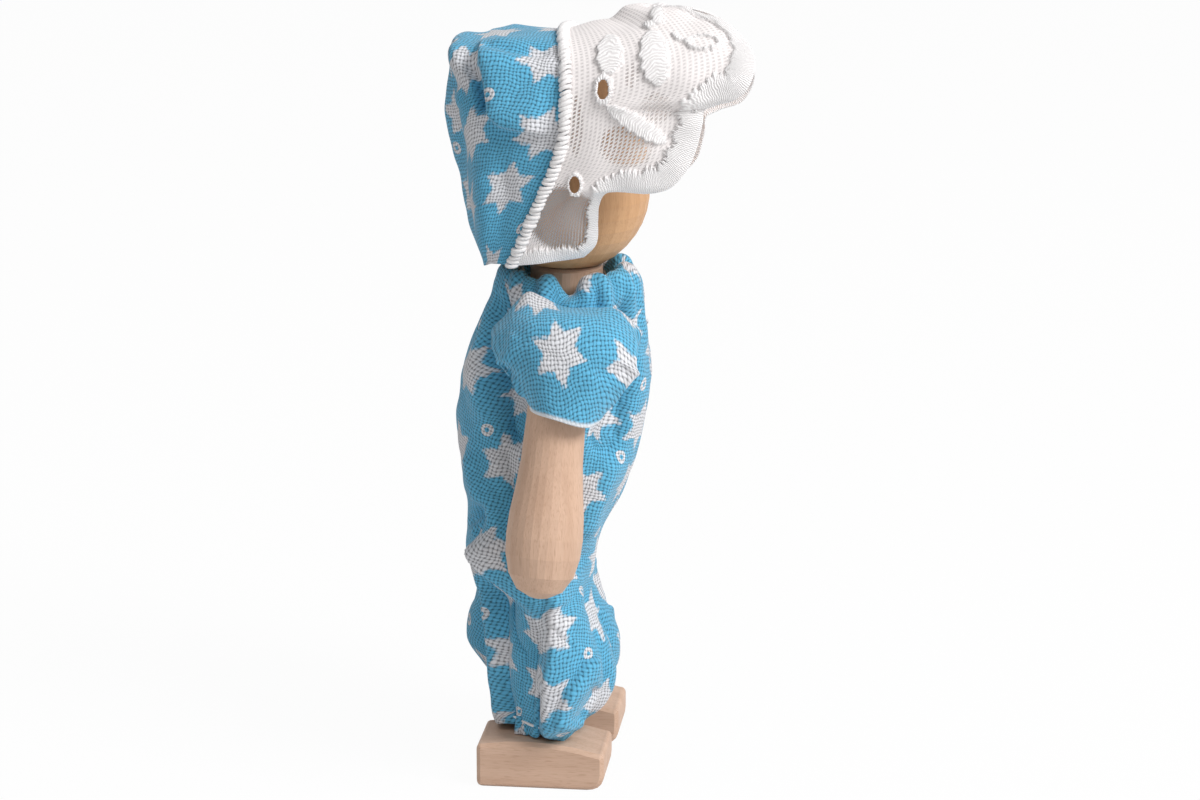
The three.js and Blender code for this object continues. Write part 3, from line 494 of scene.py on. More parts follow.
LEFT_BACK = ((0.0, 0.0), (0.600, 0.0), (0.640, 0.1), (0.700, 2.0), (0.780, 4.0), (0.840, 4.4),
             (0.900, 2.6), (0.950, 0.6), (1.0, 0.0))
# Each fold: its line in the side view as (y, z), its height, and the widths of its two slopes.
RIGHT_FOLDS = (
    (((10.6, 31.4), (9.0, 28.6), (6.0, 25.6), (3.8, 23.6), (1.4, 21.2)), 2.5, 5.0, 0.5),
    (((9.4, 25.0), (6.4, 22.0), (3.9, 19.6), (2.6, 17.6)), -2.0, 1.6, 1.9),
    (((1.7, 26.0), (0.9, 21.0), (0.5, 17.6), (1.0, 14.0), (1.3, 6.0)), 2.2, 4.4, 0.45),
    (((2.0, 21.0), (2.3, 18.0), (2.8, 14.8), (3.2, 12.4), (3.3, 5.6)), -1.8, 0.6, 1.5),
    (((1.9, 13.0), (1.9, 5.2)), -1.1, 0.34, 0.34),
    (((5.6, 10.0), (5.4, 6.0)), -0.4, 0.6, 0.5),
    (((7.2, 9.0), (7.0, 6.0)), -0.3, 0.5, 0.5),
    (((11.8, 41.5), (10.9, 39.0), (9.9, 36.8), (8.4, 34.0)), 1.1, 1.4, 0.7),
    (((8.6, 36.0), (10.9, 32.6), (12.4, 31.6)), -1.3, 0.7, 0.7),
    (((9.0, 34.6), (9.6, 32.2), (10.4, 29.6)), -0.8, 0.6, 0.6),
    (((-6.0, 16.4), (-3.5, 15.6), (-1.9, 13.4), (-0.6, 10.1), (0.1, 8.0)), 1.3, 2.6, 0.6),
    (((-5.4, 13.2), (-3.6, 11.2), (-1.8, 8.8)), -1.3, 1.3, 1.2),
    (((-3.4, 29.0), (-1.0, 27.4), (1.0, 26.6)), -0.6, 1.2, 1.2),
    (((10.4, 58.0), (10.4, 52.0), (9.2, 45.0)), 0.9, 1.2, 1.6),
    (((8.0, 62.0), (7.6, 56.0), (6.6, 51.0), (5.4, 45.0), (5.0, 42.0)), -4.2, 1.9, 1.7),
    (((7.4, 44.0), (5.6, 38.0), (6.4, 32.0)), -0.9, 1.3, 1.1),
    (((-8.6, 62.0), (-8.2, 55.0), (-7.2, 49.0), (-5.8, 43.0), (-5.2, 41.0)), -2.8, 1.5, 1.9),
    (((-6.6, 42.0), (-4.6, 36.0), (-2.4, 31.0)), 0.8, 1.2, 1.6))
# Below the hip the cloth leans away from a line down the side: how steeply behind it and ahead of it.
LEG_X = 7.2
HIP_Y = 1.8
LEG_CLEAR = 3.5
TORSO_CLEAR = 8.1
LEAN_LINE = 1.0
LEAN_BEHIND = 0.42
LEAN_AHEAD = 0.14
# The collar's roll has a crest at front and back, and a notch where the sleeve's top lies.
COLLAR_NOTCH = -0.8
NOTCH_WIDE = 1.3
NOTCH_DEEP = 1.7
CREST_HIGH = 0.7
# The far leg's front hangs farther back between these places along the half.
LEFT_FRONT = 1.1
LEFT_FRONT_FROM = (0.62, 0.72)
LEFT_FRONT_TO = (0.84, 0.95)
# Powers that square the garment's round at front and back and at the sides.
FRONT_SQUARE = 0.94
SIDE_SQUARE = 0.82
# Ripples: a count round the half, a share of its seed, and a height in mm.
HEM_RIPPLES = ((3, 1, 0.35), (7, 2, 0.15))
CREST_RIPPLES = ((7, 1, 0.28),)
NECK_PLEATS = ((14, 1, 0.26), (23, 3, 0.18))
COLLAR_PUFFS = ((10, 2, 0.34), (21, 1, 0.12))
ANKLE_GATHERS = ((9, 1, 0.22), (17, 2, 0.12))
# Where along the half the collar ends, the pleats lie and the gathers of the ankle start.
COLLAR_END = (0.05, 0.11)
PLEATS_FROM = (0.04, 0.09)
PLEATS_TO = (0.10, 0.24)
ANKLE_FROM = (0.86, 0.98)
HEM_FROM = (0.93, 1.0)
RUMPLE_COARSE = (0.16, 0.8)
RUMPLE_FINE = (0.42, 0.28)
RUMPLE_SHARE = 0.62


def romper_half(name, side, seed):
    """One half of the romper, from the collar's roll to the ankle; side is -1 for the doll's right."""
    place = np.linspace(0.0, 1.0, ROMPER_ROWS)
    height, front, back, outside, inside_x, middle_x = follow(RIGHT_ROWS)(place).T[:, :, None]
    if side > 0:
        back = back + follow(LEFT_BACK)(place)
        farther = ease(place, *LEFT_FRONT_FROM)[:, None] * (1.0 - ease(place, *LEFT_FRONT_TO)[:, None])
        front = front + LEFT_FRONT * farther
    angle = np.linspace(0.0, math.pi, ROMPER_OUTER)[None, :]
    back_angle = np.linspace(math.pi, 2 * math.pi, ROMPER_INNER)[None, 1:]
    round_ = np.concatenate([angle, back_angle], axis=1)
    centre = (front + back) / 2
    depth = (back - front) / 2
    y = centre - depth * np.sign(np.cos(round_)) * np.abs(np.cos(round_)) ** FRONT_SQUARE
    lobe = np.abs(np.sin(round_)) ** SIDE_SQUARE
    x = np.where(round_ <= math.pi + 1e-9, middle_x + (outside - middle_x) * lobe,
                 middle_x + (inside_x - middle_x) * lobe)
    x = np.maximum(x, 0.0)
    z = np.broadcast_to(height, x.shape).copy()
    z -= ease(place, *HEM_FROM)[:, None] * waves(round_, seed, HEM_RIPPLES)
    collar = 1.0 - ease(place, *COLLAR_END)[:, None]
    notch = np.exp(-(((y - COLLAR_NOTCH) / NOTCH_WIDE) ** 2)) * (lobe > 0.5)
    crest = CREST_HIGH * np.abs(np.cos(round_)) ** 1.4 + waves(round_, seed, CREST_RIPPLES)
    z += collar * ease(place, 0.0, 0.03)[:, None] * (crest - NOTCH_DEEP * notch)
    grid = np.stack([-x, y, z], axis=2)
    flat_grid = flat_lengths(grid)
    facing = grid_normals(grid)
    outward = np.where(round_ <= math.pi + 1e-9, 1.0, 0.6)
    lift = np.zeros(x.shape)
    near = (lobe > 0.12) * (round_ <= math.pi + 1e-9)
    for line, rise, left, right in RIGHT_FOLDS:
        lift += near * ease(lobe, 0.32, 0.70) * fold(y, z, line, rise, left, right)
    leaning = np.where(y > LEAN_LINE, -LEAN_BEHIND, LEAN_AHEAD) * (y - LEAN_LINE)
    lift += near * ease(lobe, 0.1, 0.5) * leaning * (1.0 - ease(z, 21.0, 28.0))
    neck = ease(place, *PLEATS_FROM)[:, None] * (1.0 - ease(place, *PLEATS_TO)[:, None])
    lift += neck * waves(round_, seed, NECK_PLEATS) * ease(lobe, 0.0, 0.2)
    puffs = waves(round_, seed, COLLAR_PUFFS)
    lift += collar * puffs * ease(lobe, 0.0, 0.25) * ease(place, 0.015, 0.04)[:, None]
    lift += ease(place, *ANKLE_FROM)[:, None] * waves(round_, seed, ANKLE_GATHERS)
    uneven_lie = rumple(grid, (seed, 0, 0), RUMPLE_COARSE, RUMPLE_FINE)
    seam_hold = ease(np.abs(grid[..., 0]), 0.05, 1.6)
    body_part = ease(place, 0.08, 0.16)[:, None]
    lift += uneven_lie * body_part * RUMPLE_SHARE
    lift *= seam_hold
    grid += facing * (lift * outward)[..., None]
    on_leg = LEG_X + np.sqrt(np.maximum(LEG_CLEAR ** 2 - (grid[..., 1] - HIP_Y) ** 2, 0.0))
    on_torso = np.sqrt(np.maximum(TORSO_CLEAR ** 2 - grid[..., 1] ** 2, 0.0))
    upper = ease(grid[..., 2], 33.0, 37.0) * (1.0 - ease(grid[..., 2], 56.0, 60.0))
    wood = np.where(grid[..., 2] < 30.0, np.where(on_leg > LEG_X, on_leg, 0.0), on_torso * upper)
    wood = np.minimum(wood, x)
    grid[..., 0] = np.where(round_ <= math.pi, np.minimum(grid[..., 0], -wood), grid[..., 0])
    grid[..., 0] = np.minimum(grid[..., 0], 0.0)
    inner_side = (round_ >= math.pi - 1e-9) | (round_ <= 1e-9)
    on_middle = (np.abs(grid[..., 0]) < 0.02) & inner_side
    kept = ~(on_middle[:-1, :-1] & on_middle[1:, 1:] & on_middle[:-1, 1:] & on_middle[1:, :-1])
    if side > 0:
        grid = grid[:, ::-1].copy()
        flat_grid = flat_grid[:, ::-1].copy()
        kept = kept[:, ::-1]
        grid[..., 0] *= -1.0
    return cloth_piece(name, grid, flat_grid, CLOTH_THICK, kept=kept, closed=True), grid


def tube(path, level, radius, sides, closed=False):
    """Points and faces of a thread along a path in mm; level is a way that it never runs."""
    if closed:
        heading = np.roll(path, -1, axis=0) - np.roll(path, 1, axis=0)
    else:
        heading = np.gradient(path, axis=0)
    first_side = np.cross(heading, level)
    first_side /= np.linalg.norm(first_side, axis=1, keepdims=True)
    second_side = np.cross(heading, first_side)
    second_side /= np.linalg.norm(second_side, axis=1, keepdims=True)
    turn = np.linspace(0.0, 2 * math.pi, sides, endpoint=False)[None, :, None]
    spoke = first_side[:, None] * np.cos(turn) + second_side[:, None] * np.sin(turn)
    points = path[:, None] + radius * spoke
    count = len(path)
    faces = []
    for j in range(count if closed else count - 1):
        here = j * sides
        after = ((j + 1) % count) * sides
        for m in range(sides):
            n = (m + 1) % sides
            faces.append((here + m, here + n, after + n, after + m))
    if not closed:
        faces.append(tuple(reversed(range(sides))))
        faces.append(tuple((count - 1) * sides + m for m in range(sides)))
    return points.reshape(-1, 3), faces


def thread_piece(name, tubes):
    """One object from any number of threads."""
    points = []
    faces = []
    for tube_points, tube_faces in tubes:
        start = sum(len(one) for one in points)
        points.append(tube_points)
        faces.extend(tuple(start + index for index in face) for face in tube_faces)
    places = np.concatenate(points)
    places[:, 1] += AXIS_Y
    mesh = bpy.data.meshes.new(name)
    mesh.from_pydata(places * MM, [], faces)
    mesh.polygons.foreach_set("use_smooth", [True] * len(mesh.polygons))
    piece = bpy.data.objects.new(name, mesh)
    bpy.context.collection.objects.link(piece)
    return piece


THREAD_SHADE = (0.70, 0.68, 0.68, 1)
THREAD_LIGHT = (0.98, 0.96, 0.955, 1)
thread_white, tree, surface = new_finish("white_sewing_thread")
twist = wire(tree, "ShaderNodeTexNoise", {"Vector": place_mm(tree), "Scale": 4.0, "Detail": 2.0})
tree.links.new(tint(tree, twist.outputs["Fac"], THREAD_SHADE, THREAD_LIGHT), surface.inputs["Base Color"])
tree.links.new(ramp_of(tree, twist.outputs["Fac"], 0.3, 0.7, 0.5, 0.75), surface.inputs["Roughness"])
twist_bump = wire(tree, "ShaderNodeBump", {
    "Strength": 0.5, "Distance": 0.0001, "Height": twist.outputs["Fac"]})
tree.links.new(twist_bump.outputs[0], surface.inputs["Normal"])

GATHER_PLACE = 0.952
GATHER_RADIUS = 0.17
GATHER_SIDES = 6
GATHER_PROUD = 0.25
GATHER_SLACK = 18
romper_cotton = {"right": cotton_finish("right_romper_cotton", (1.5, 2.0), 0.25),
                 "left": cotton_finish("left_romper_cotton", (6.1, 4.3), -0.35)}
for side_name, side, seed in (("right", -1, 1.7), ("left", 1, 4.1)):
    half, half_grid = romper_half(side_name + "_romper_half", side, seed)
    half.data.materials.append(romper_cotton[side_name])
    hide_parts(side_name + "_trouser", *(["romper_bodice", "neck_gather_thread"] if side < 0 else []))
    # The crease of the hip runs from the crotch up to the outside of the hip.
    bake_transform(half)
    # The gathering thread bridges the hollows of the ankle and dips under the cloth between them.
    hem_row = half_grid[round(GATHER_PLACE * (ROMPER_ROWS - 1)), :-1]
    around = np.concatenate([hem_row[-GATHER_SLACK:], hem_row, hem_row[:GATHER_SLACK]])
    window = np.ones(2 * GATHER_SLACK + 1) / (2 * GATHER_SLACK + 1)
    drawn = np.stack([np.convolve(around[:, k], window, mode="valid") for k in range(3)], axis=1)
    middle = drawn.mean(axis=0)
    apart = drawn - middle
    drawn += apart / np.linalg.norm(apart, axis=1, keepdims=True) * GATHER_PROUD
    gather_loop = tube(drawn, (0.0, 0.0, 1.0), GATHER_RADIUS, GATHER_SIDES, closed=True)
    gather = thread_piece(side_name + "_gather_thread", [gather_loop])
    gather.data.materials.append(thread_white)
    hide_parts(side_name + "_ankle_thread")
    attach(gather, side_name + "_leg")


# The sleeves are short caps of the same cotton, folded over the shoulder from under the collar.
# Their front and back corners stand out in points, and the cut hem hangs open round the arm.
SLEEVE_ROWS = 110
SLEEVE_ROUND = 150
# Each row: place along the sleeve, outer (x, z), inner (x, z), front and back.
SLEEVE_SHAPE = (
    (0.00, 8.2, 60.4, 8.8, 53.2, -2.0, 1.5), (0.025, 6.9, 60.6, 8.6, 53.0, -8.8, 7.2),
    (0.07, 9.0, 61.7, 8.9, 52.6, -9.5, 7.8),
    (0.16, 12.2, 61.6, 9.3, 52.0, -9.9, 7.9), (0.34, 16.1, 60.2, 9.7, 51.2, -10.1, 7.3),
    (0.46, 17.4, 58.5, 9.9, 50.8, -10.3, 6.9),
    (0.50, 17.8, 57.8, 9.9, 50.7, -10.5, 6.9), (0.54, 18.1, 57.1, 9.9, 50.6, -10.0, 6.2),
    (0.62, 18.6, 55.4, 10.0, 50.3, -9.1, 5.3),
    (0.80, 18.9, 52.2, 10.1, 49.9, -7.6, 4.0), (0.92, 19.2, 50.2, 10.2, 49.6, -6.6, 3.1),
    (1.00, 19.3, 48.9, 10.3, 49.2, -6.0, 2.7))
# The crest of the shoulder: y, and how far it stands above or below the row's height.
SHOULDER_CREST = ((-10.5, -1.0), (-8.1, 0.6), (-4.8, -0.4), (-0.6, -0.9), (1.9, 0.5), (3.5, 1.5),
                  (5.2, 0.9), (8.2, -1.2))
# Each fold is given as the romper's are.
SLEEVE_FOLDS = (
    (((4.8, 53.4), (4.2, 52.2), (3.4, 50.6)), -0.9, 0.45, 0.7),
    (((5.6, 54.6), (5.0, 53.4), (4.4, 51.8)), 0.4, 0.6, 0.6),
    (((-9.6, 54.8), (-7.6, 54.4), (-5.4, 54.8)), 0.35, 0.8, 1.2),
    (((4.4, 59.0), (5.0, 56.8), (5.8, 54.8)), -0.4, 0.9, 0.9))
# The flat panel's place along the sleeve and its spread, and the power that flattens it.
PANEL_PLACE = 0.55
PANEL_SPREAD = 0.42
PANEL_FLAT = 2.8
# The crest's place along the sleeve and its spread.
CREST_PLACE = 0.08
CREST_SPREAD = 0.09
LEFT_CORNER = 1.8
HEM_SLOPE = 0.19
HEM_LEVEL = -1.5
HEM_WAVE = ((3, 1, 0.25),)
SLEEVE_COARSE = (0.2, 0.7)
SLEEVE_FINE = (0.5, 0.2)
SLEEVE_RUMPLE = 0.4
RAW_EDGE = (0.955, 0.985)


def sleeve(name, side, seed):
    """A cap sleeve as a tube from the armhole to the hem."""
    place = np.linspace(0.0, 1.0, SLEEVE_ROWS)
    outer_x, outer_z, inner_x, inner_z, front, back = follow(SLEEVE_SHAPE)(place).T[:, :, None]
    round_ = np.linspace(0.0, 2 * math.pi, SLEEVE_ROUND)[None, :]
    panel = np.exp(-(((place - PANEL_PLACE) / PANEL_SPREAD) ** 2))[:, None]
    flat_face = 1.0 - np.abs(np.sin(round_)) ** PANEL_FLAT
    toward = np.sign(np.cos(round_)) * (panel * flat_face + (1.0 - panel) * np.abs(np.cos(round_)))
    if side > 0:
        front = front + LEFT_CORNER
    y = (front + back) / 2 - (back - front) / 2 * np.sin(round_)
    x = (outer_x + inner_x) / 2 + (outer_x - inner_x) / 2 * toward
    z = (outer_z + inner_z) / 2 + (outer_z - inner_z) / 2 * toward
    z += HEM_SLOPE * (y - HEM_LEVEL) * (place[:, None] ** 2)
    top_share = np.exp(-(((place - CREST_PLACE) / CREST_SPREAD) ** 2))[:, None] * ease(toward, 0.2, 0.9)
    z += top_share * follow(SHOULDER_CREST)(y)[..., 0]
    z += waves(round_, seed, HEM_WAVE) * ease(place, 0.85, 1.0)[:, None]
    grid = np.stack([-x, y, z], axis=2)
    flat_grid = flat_lengths(grid)
    # The print is laid from the armhole's seam, which the second row gives.
    flat_grid[..., 1] -= flat_grid[np.searchsorted(place, SLEEVE_SHAPE[1][0]), :, 1].mean()
    turned_in = 2 * np.where(np.sin(round_) > 0, front, back) - y
    flat_grid[..., 0] = np.where(toward > 0, y, turned_in)
    facing = grid_normals(grid)
    lift = np.zeros(x.shape)
    outer_face = ease(toward, -0.2, 0.3)
    for line, rise, left, right in SLEEVE_FOLDS:
        lift += outer_face * fold(y, z, line, rise, left, right)
    uneven_lie = rumple(grid, (0, seed, 0), SLEEVE_COARSE, SLEEVE_FINE)
    lift += uneven_lie * SLEEVE_RUMPLE * ease(place, 0.0, 0.2)[:, None]
    grid += facing * lift[..., None]
    grid[:, -1] = grid[:, 0]
    if side > 0:
        grid = grid[:, ::-1].copy()
        flat_grid = flat_grid[:, ::-1].copy()
        grid[..., 0] *= -1.0
    raw = np.broadcast_to(ease(place, *RAW_EDGE)[:, None], x.shape)
    return cloth_piece(name, grid, flat_grid, CLOTH_THICK, closed=True, values={"raw": raw})


sleeve_cotton = cotton_finish("sleeve_cotton", (0.02, 0.31), -0.2)
for side_name, side, seed in (("right", -1, 2.3), ("left", 1, 5.9)):
    cap_sleeve = sleeve(side_name + "_cap_sleeve", side, seed)
    cap_sleeve.data.materials.append(sleeve_cotton)
    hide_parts(side_name + "_sleeve")
    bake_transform(cap_sleeve)


# The bonnet's cap is one piece of the romper's cotton, folded over the crown like a wrapped parcel.
# Its top corner stands up at the back, and a loose flap lies over the side of the head.
CAP_ACROSS = 320
CAP_DEEP = 170
CAP_LEAN = 0.13
BACK_PANEL = 1.15
# Powers that square the bag's round to the side, downward and to the back.
SQUARE_IN = 0.56
SQUARE_DOWN = 0.29
SQUARE_BACK = 0.56
# The back's middle lies at this height at most, and the bag's lower hem drops behind the jaw.
POLE_HIGHEST = 87.0
POLE_DROP = 0.6
HEM_DROP = 0.9
# The top corner's place, spread and height.
CORNER_Y = 12.9
CORNER_Z = 91.4
CORNER_SPREAD = 1.7
CORNER_HIGH = 1.2
CAP_COARSE = (0.17, 0.8)
CAP_FINE = (0.4, 0.25)
CAP_SHIFT = (3.0, 0, 0)
CAP_RUMPLE = 0.5
# Each row: place along the seam from the doll's right jaw to the crown, then x, y and z.
SEAM_LINE = (
    (0.00, -9.6, 5.5, 65.9), (0.06, -10.5, 3.9, 69.5), (0.12, -11.1, 2.2, 73.3),
    (0.20, -11.5, 0.1, 78.0), (0.27, -11.6, -1.0, 81.6), (0.34, -11.4, -1.3, 85.3),
    (0.40, -10.4, -1.2, 88.4), (0.44, -8.4, -0.9, 90.9), (0.47, -5.2, -0.3, 92.5),
    (0.50, 0.0, 0.2, 93.2))
# Each row: height, and how far back the cap reaches there.
CAP_BACK = (
    (64.6, 10.3), (65.6, 10.6), (67.5, 11.3), (71.3, 12.1), (74.4, 12.7), (78.1, 13.7), (81.2, 14.3),
    (83.7, 14.6), (86.8, 14.5), (89.3, 14.1), (91.0, 13.3), (92.2, 12.4), (94.0, 11.4))
CAP_FOLDS = (
    (((9.9, 93.0), (9.3, 91.4), (8.7, 88.6), (8.1, 84.6), (6.6, 83.4), (4.2, 83.0), (0.4, 82.4)),
     1.6, 4.8, 0.45),
    (((11.6, 91.0), (10.5, 89.2), (9.9, 86.3), (9.4, 84.0)), -1.9, 1.1, 0.9),
    (((9.8, 91.6), (5.6, 91.4), (0.6, 91.6)), -0.8, 0.5, 0.5),
    (((12.6, 92.2), (13.6, 88.4), (14.2, 84.0)), 0.7, 0.9, 0.9),
    (((10.0, 66.0), (9.4, 72.0), (9.8, 78.0)), 0.5, 1.5, 1.5),
    (((7.0, 80.0), (6.0, 74.0), (7.4, 68.0)), -0.35, 1.2, 1.2))


def both_sides(rows):
    """Carries a line given from the right jaw to the crown on to the left jaw."""
    mirrored = [(1.0 - r[0], -r[1], *r[2:]) for r in reversed(rows[:-1])]
    return list(rows) + mirrored


seam_at = follow(both_sides(SEAM_LINE))
along = np.linspace(0.0, 1.0, CAP_ACROSS)
seam_points = seam_at(along)
depth_turn = np.linspace(0.0, math.pi / 2, CAP_DEEP)[:, None]
cap_x, cap_y, cap_z = (seam_points[None, :, k] for k in range(3))
inward = np.cos(depth_turn) ** SQUARE_IN
downward = np.cos(depth_turn) ** SQUARE_DOWN
backward = np.sin(depth_turn) ** SQUARE_BACK
pole_z = np.minimum(cap_z, POLE_HIGHEST) - POLE_DROP * ease(cap_z, 66.0, 74.0)
grid_z = pole_z + (cap_z - pole_z) * downward
grid_z -= HEM_DROP * (1.0 - ease(cap_z, 65.0, 69.0)) * ease(depth_turn, 0.1, 1.0)
grid_x = cap_x * inward
back_at = follow(CAP_BACK)(grid_z)[..., 0]
grid_y = cap_y + (back_at - cap_y) * backward
cap_grid = np.stack([grid_x, grid_y, grid_z], axis=2)
cap_base = cap_grid.copy()
cap_facing = grid_normals(cap_grid)
cap_lift = np.zeros(grid_x.shape)
side_face = ease(np.abs(grid_x), 2.0, 6.0)
for line, rise, left, right in CAP_FOLDS:
    cap_lift += side_face * fold(grid_y, grid_z, line, rise, left, right)
corner = np.exp(
    -(((grid_y - CORNER_Y) / CORNER_SPREAD) ** 2) - ((grid_z - CORNER_Z) / CORNER_SPREAD) ** 2)
cap_lift += CORNER_HIGH * corner
cap_lift -= CAP_LEAN * (grid_y - cap_y) * side_face * (1.0 - ease(grid_z, 87.0, 91.0))
cap_uneven = rumple(cap_grid, CAP_SHIFT, CAP_COARSE, CAP_FINE)
cap_lift += cap_uneven * CAP_RUMPLE * ease(depth_turn, 0.05, 0.4)
cap_grid += cap_facing * cap_lift[..., None]
# The back of the bag is cut as a panel of its own.
back_panel = np.broadcast_to(depth_turn > BACK_PANEL, grid_x.shape)[..., None]
cap_flat = np.where(back_panel, np.stack([grid_x, grid_z], axis=2), flat_lengths(cap_base))
bonnet_cap = cloth_piece(
    "bonnet_cap_cloth", cap_grid[:, ::-1].copy(), cap_flat[:, ::-1].copy(), CLOTH_THICK)
bonnet_cap.data.materials.append(cotton_finish("bonnet_cotton", (2.0, 1.0), 0.15))
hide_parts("bonnet_cap")
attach(bonnet_cap, "head")


# The brim is a strip of sheer white lawn lace with a scalloped edge, satin-stitched all along.
# Embroidered leaves and stitched eyelets lie inside the border, and the strip is gathered on the cap.
LACE_ALONG = 620
LACE_OUT = 150
LACE_THICK = 0.22
FAR_DROOP = 5.0
# Each row: place along the lace from the right jaw to the crown, then x, y and z of the scalloped edge.
LACE_EDGE = (
    (0.000, -9.2, -3.2, 67.2), (0.022, -9.7, -4.7, 69.0), (0.050, -10.4, -5.0, 72.0),
    (0.085, -11.1, -5.2, 74.2), (0.110, -11.6, -5.9, 75.6), (0.140, -12.0, -7.9, 76.2),
    (0.180, -12.3, -11.1, 75.9),
    (0.220, -12.5, -14.1, 76.6), (0.250, -12.6, -15.9, 78.6), (0.280, -12.5, -17.0, 81.0),
    (0.305, -12.2, -17.7, 84.0), (0.325, -11.8, -18.0, 85.9), (0.345, -12.4, -19.6, 86.7),
    (0.370, -12.6, -22.2, 87.6), (0.395, -12.4, -23.7, 89.8), (0.420, -10.5, -23.6, 91.9),
    (0.440, -8.0, -22.2, 93.4), (0.460, -5.5, -19.5, 94.7), (0.480, -2.6, -15.0, 95.4),
    (0.500, 0.0, -10.6, 95.2))
# Each satin leaf: middle (y, z), half length, half width, lean in radians.
LACE_LEAVES = (
    (-6.3, 91.5, 2.0, 1.6, 1.40), (-11.8, 91.3, 2.9, 1.75, 1.28), (-9.9, 83.9, 4.2, 1.15, 0.53),
    (-10.8, 94.6, 0.9, 0.5, 2.9), (-11.5, 95.6, 1.0, 0.8, 0.8), (-14.3, 93.6, 0.9, 0.35, 0.45))
# Each eyelet: middle (y, z), half height and half width inside, width of its rim, and whether it is open.
LACE_EYELETS = (
    (-5.9, 87.8, 1.05, 0.62, 0.70, True), (-2.6, 76.5, 0.95, 0.62, 0.45, True),
    (-17.5, 93.1, 0.55, 1.6, 0.55, False))
# Each loosely woven patch of the lawn: middle (y, z), half lengths, and how open it is; the most open patches
# are also painted darker, partly for the thinner lawn and partly as painted shade.
LACE_SHEER = (
    (-8.7, 81.4, 3.6, 2.7, 1.0), (-12.3, 86.0, 2.0, 2.0, 0.9), (-1.2, 72.0, 4.8, 4.6, 1.6),
    (-2.6, 83.5, 0.9, 4.0, 0.8), (-9.2, 89.6, 0.9, 1.6, 0.8))
# How wide the satin border is at places along the edge.
BORDER_WIDTH = ((0.0, 1.9), (0.05, 1.5), (0.10, 1.6), (0.14, 2.3), (0.20, 3.1), (0.30, 3.1), (0.33, 3.0),
                (0.37, 3.5), (0.40, 3.8), (0.425, 2.7), (0.45, 1.3), (0.50, 1.0))
END_BORDER = 1.9
BORDER_FINE = 1.4
LAWN_SHEER = 0.12
SIDE_SWELL = 0.9
CROWN_SWELL = 0.5
CROWN_LIFT = 1.25
PUFF_HIGH = 0.38
THREAD_HIGH = 0.02
RIPPLE_HIGH = 0.45
RIPPLE_SCALE = 0.22
SATIN_PITCH = 0.33
LAWN_SHADE = (0.74, 0.695, 0.69, 1)
LAWN_LIGHT = (0.91, 0.86, 0.85, 1)
SATIN_SHADE = (0.78, 0.745, 0.745, 1)
SATIN_LIGHT = (1.0, 0.985, 0.98, 1)
LAWN_PITCH = 0.50
lace_run = np.linspace(0.0, 1.0, LACE_ALONG)
lace_seam = seam_at(lace_run)
lace_edge = follow(both_sides(LACE_EDGE))(lace_run)
far_wing = ease(lace_run, 0.5, 0.6) * (1.0 - ease(lace_run, 0.68, 0.9))
lace_edge[:, 2] -= FAR_DROOP * far_wing
lace_edge[:, 1] += 0.35 * FAR_DROOP * far_wing
out = np.linspace(0.0, 1.0, LACE_OUT)[:, None, None]
lace_grid = lace_seam[None] + (lace_edge - lace_seam)[None] * out
flank = np.minimum(lace_run, 1.0 - lace_run)
way = np.sign(lace_run - 0.5)
swell = np.sin(math.pi * out[..., 0])
lace_grid[..., 0] += way * swell * SIDE_SWELL * (1.0 - ease(flank, 0.40, 0.48))
crown = ease(flank, 0.42, 0.50)
crown_roll = ease(out[..., 0], 0.48, 0.70) * (1.0 - 0.35 * ease(out[..., 0], 0.8, 1.0))
lace_grid[..., 2] += crown * CROWN_LIFT * crown_roll
lace_grid[..., 2] += ease(flank, 0.36, 0.44) * CROWN_SWELL * swell
lace_y, lace_z = lace_grid[..., 1], lace_grid[..., 2]
fine_run = np.linspace(0.0, 1.0, 3000)
fine_edge = np.stack([np.interp(fine_run, lace_run, lace_edge[:, k]) for k in range(3)], axis=1)
fine_out = np.linspace(0.0, LACE_OUT - 1.0, 700)
ends = [np.stack([np.interp(fine_out, np.arange(LACE_OUT), lace_grid[:, c, k]) for k in range(3)], axis=1)
        for c in (0, -1)]
rim_points = np.concatenate([ends[0], fine_edge, ends[1][::-1]])
rim_run = np.concatenate([[0.0], np.cumsum(np.linalg.norm(np.diff(rim_points, axis=0), axis=1))])
rim_tree = kdtree.KDTree(len(rim_points))
for k, point in enumerate(rim_points):
    rim_tree.insert(point, k)
rim_tree.balance()
flat_points = lace_grid.reshape(-1, 3)
found = [rim_tree.find(point)[1:] for point in flat_points]
rim_index = np.array([one[0] for one in found])
rim_near = rim_run[rim_index]
rim_flank = np.minimum(fine_run, 1.0 - fine_run)
end_width = np.full(len(fine_out), END_BORDER)
rim_width = np.concatenate([end_width, follow(BORDER_WIDTH)(rim_flank)[:, 0], end_width])
to_rim = np.array([one[1] for one in found])
to_rim = to_rim.reshape(lace_y.shape)
stitch = rim_near.reshape(lace_y.shape) * BORDER_FINE
border = rim_width[rim_index].reshape(lace_y.shape)
ragged = 0.22 * np.sin(stitch * 1.5) + 0.2 * np.sin(stitch * 6.9) + 0.2 * np.sin(stitch * 12.4 + 1.0)
border = border + ragged * border / 3.0
satin = 1.0 - ease(to_rim, border - 0.25, border)
puff = satin * (0.35 + 0.65 * np.sqrt(np.clip(1 - ((to_rim / border - 0.42) / 0.62) ** 2, 0, 1)))
sheer = np.full(lace_y.shape, LAWN_SHEER)
for patch_y, patch_z, half_y, half_z, openness in LACE_SHEER:
    away = np.hypot((lace_y - patch_y) / half_y, (lace_z - patch_z) / half_z)
    sheer = np.maximum(sheer, openness * (1.0 - ease(away, 0.75, 1.1)))
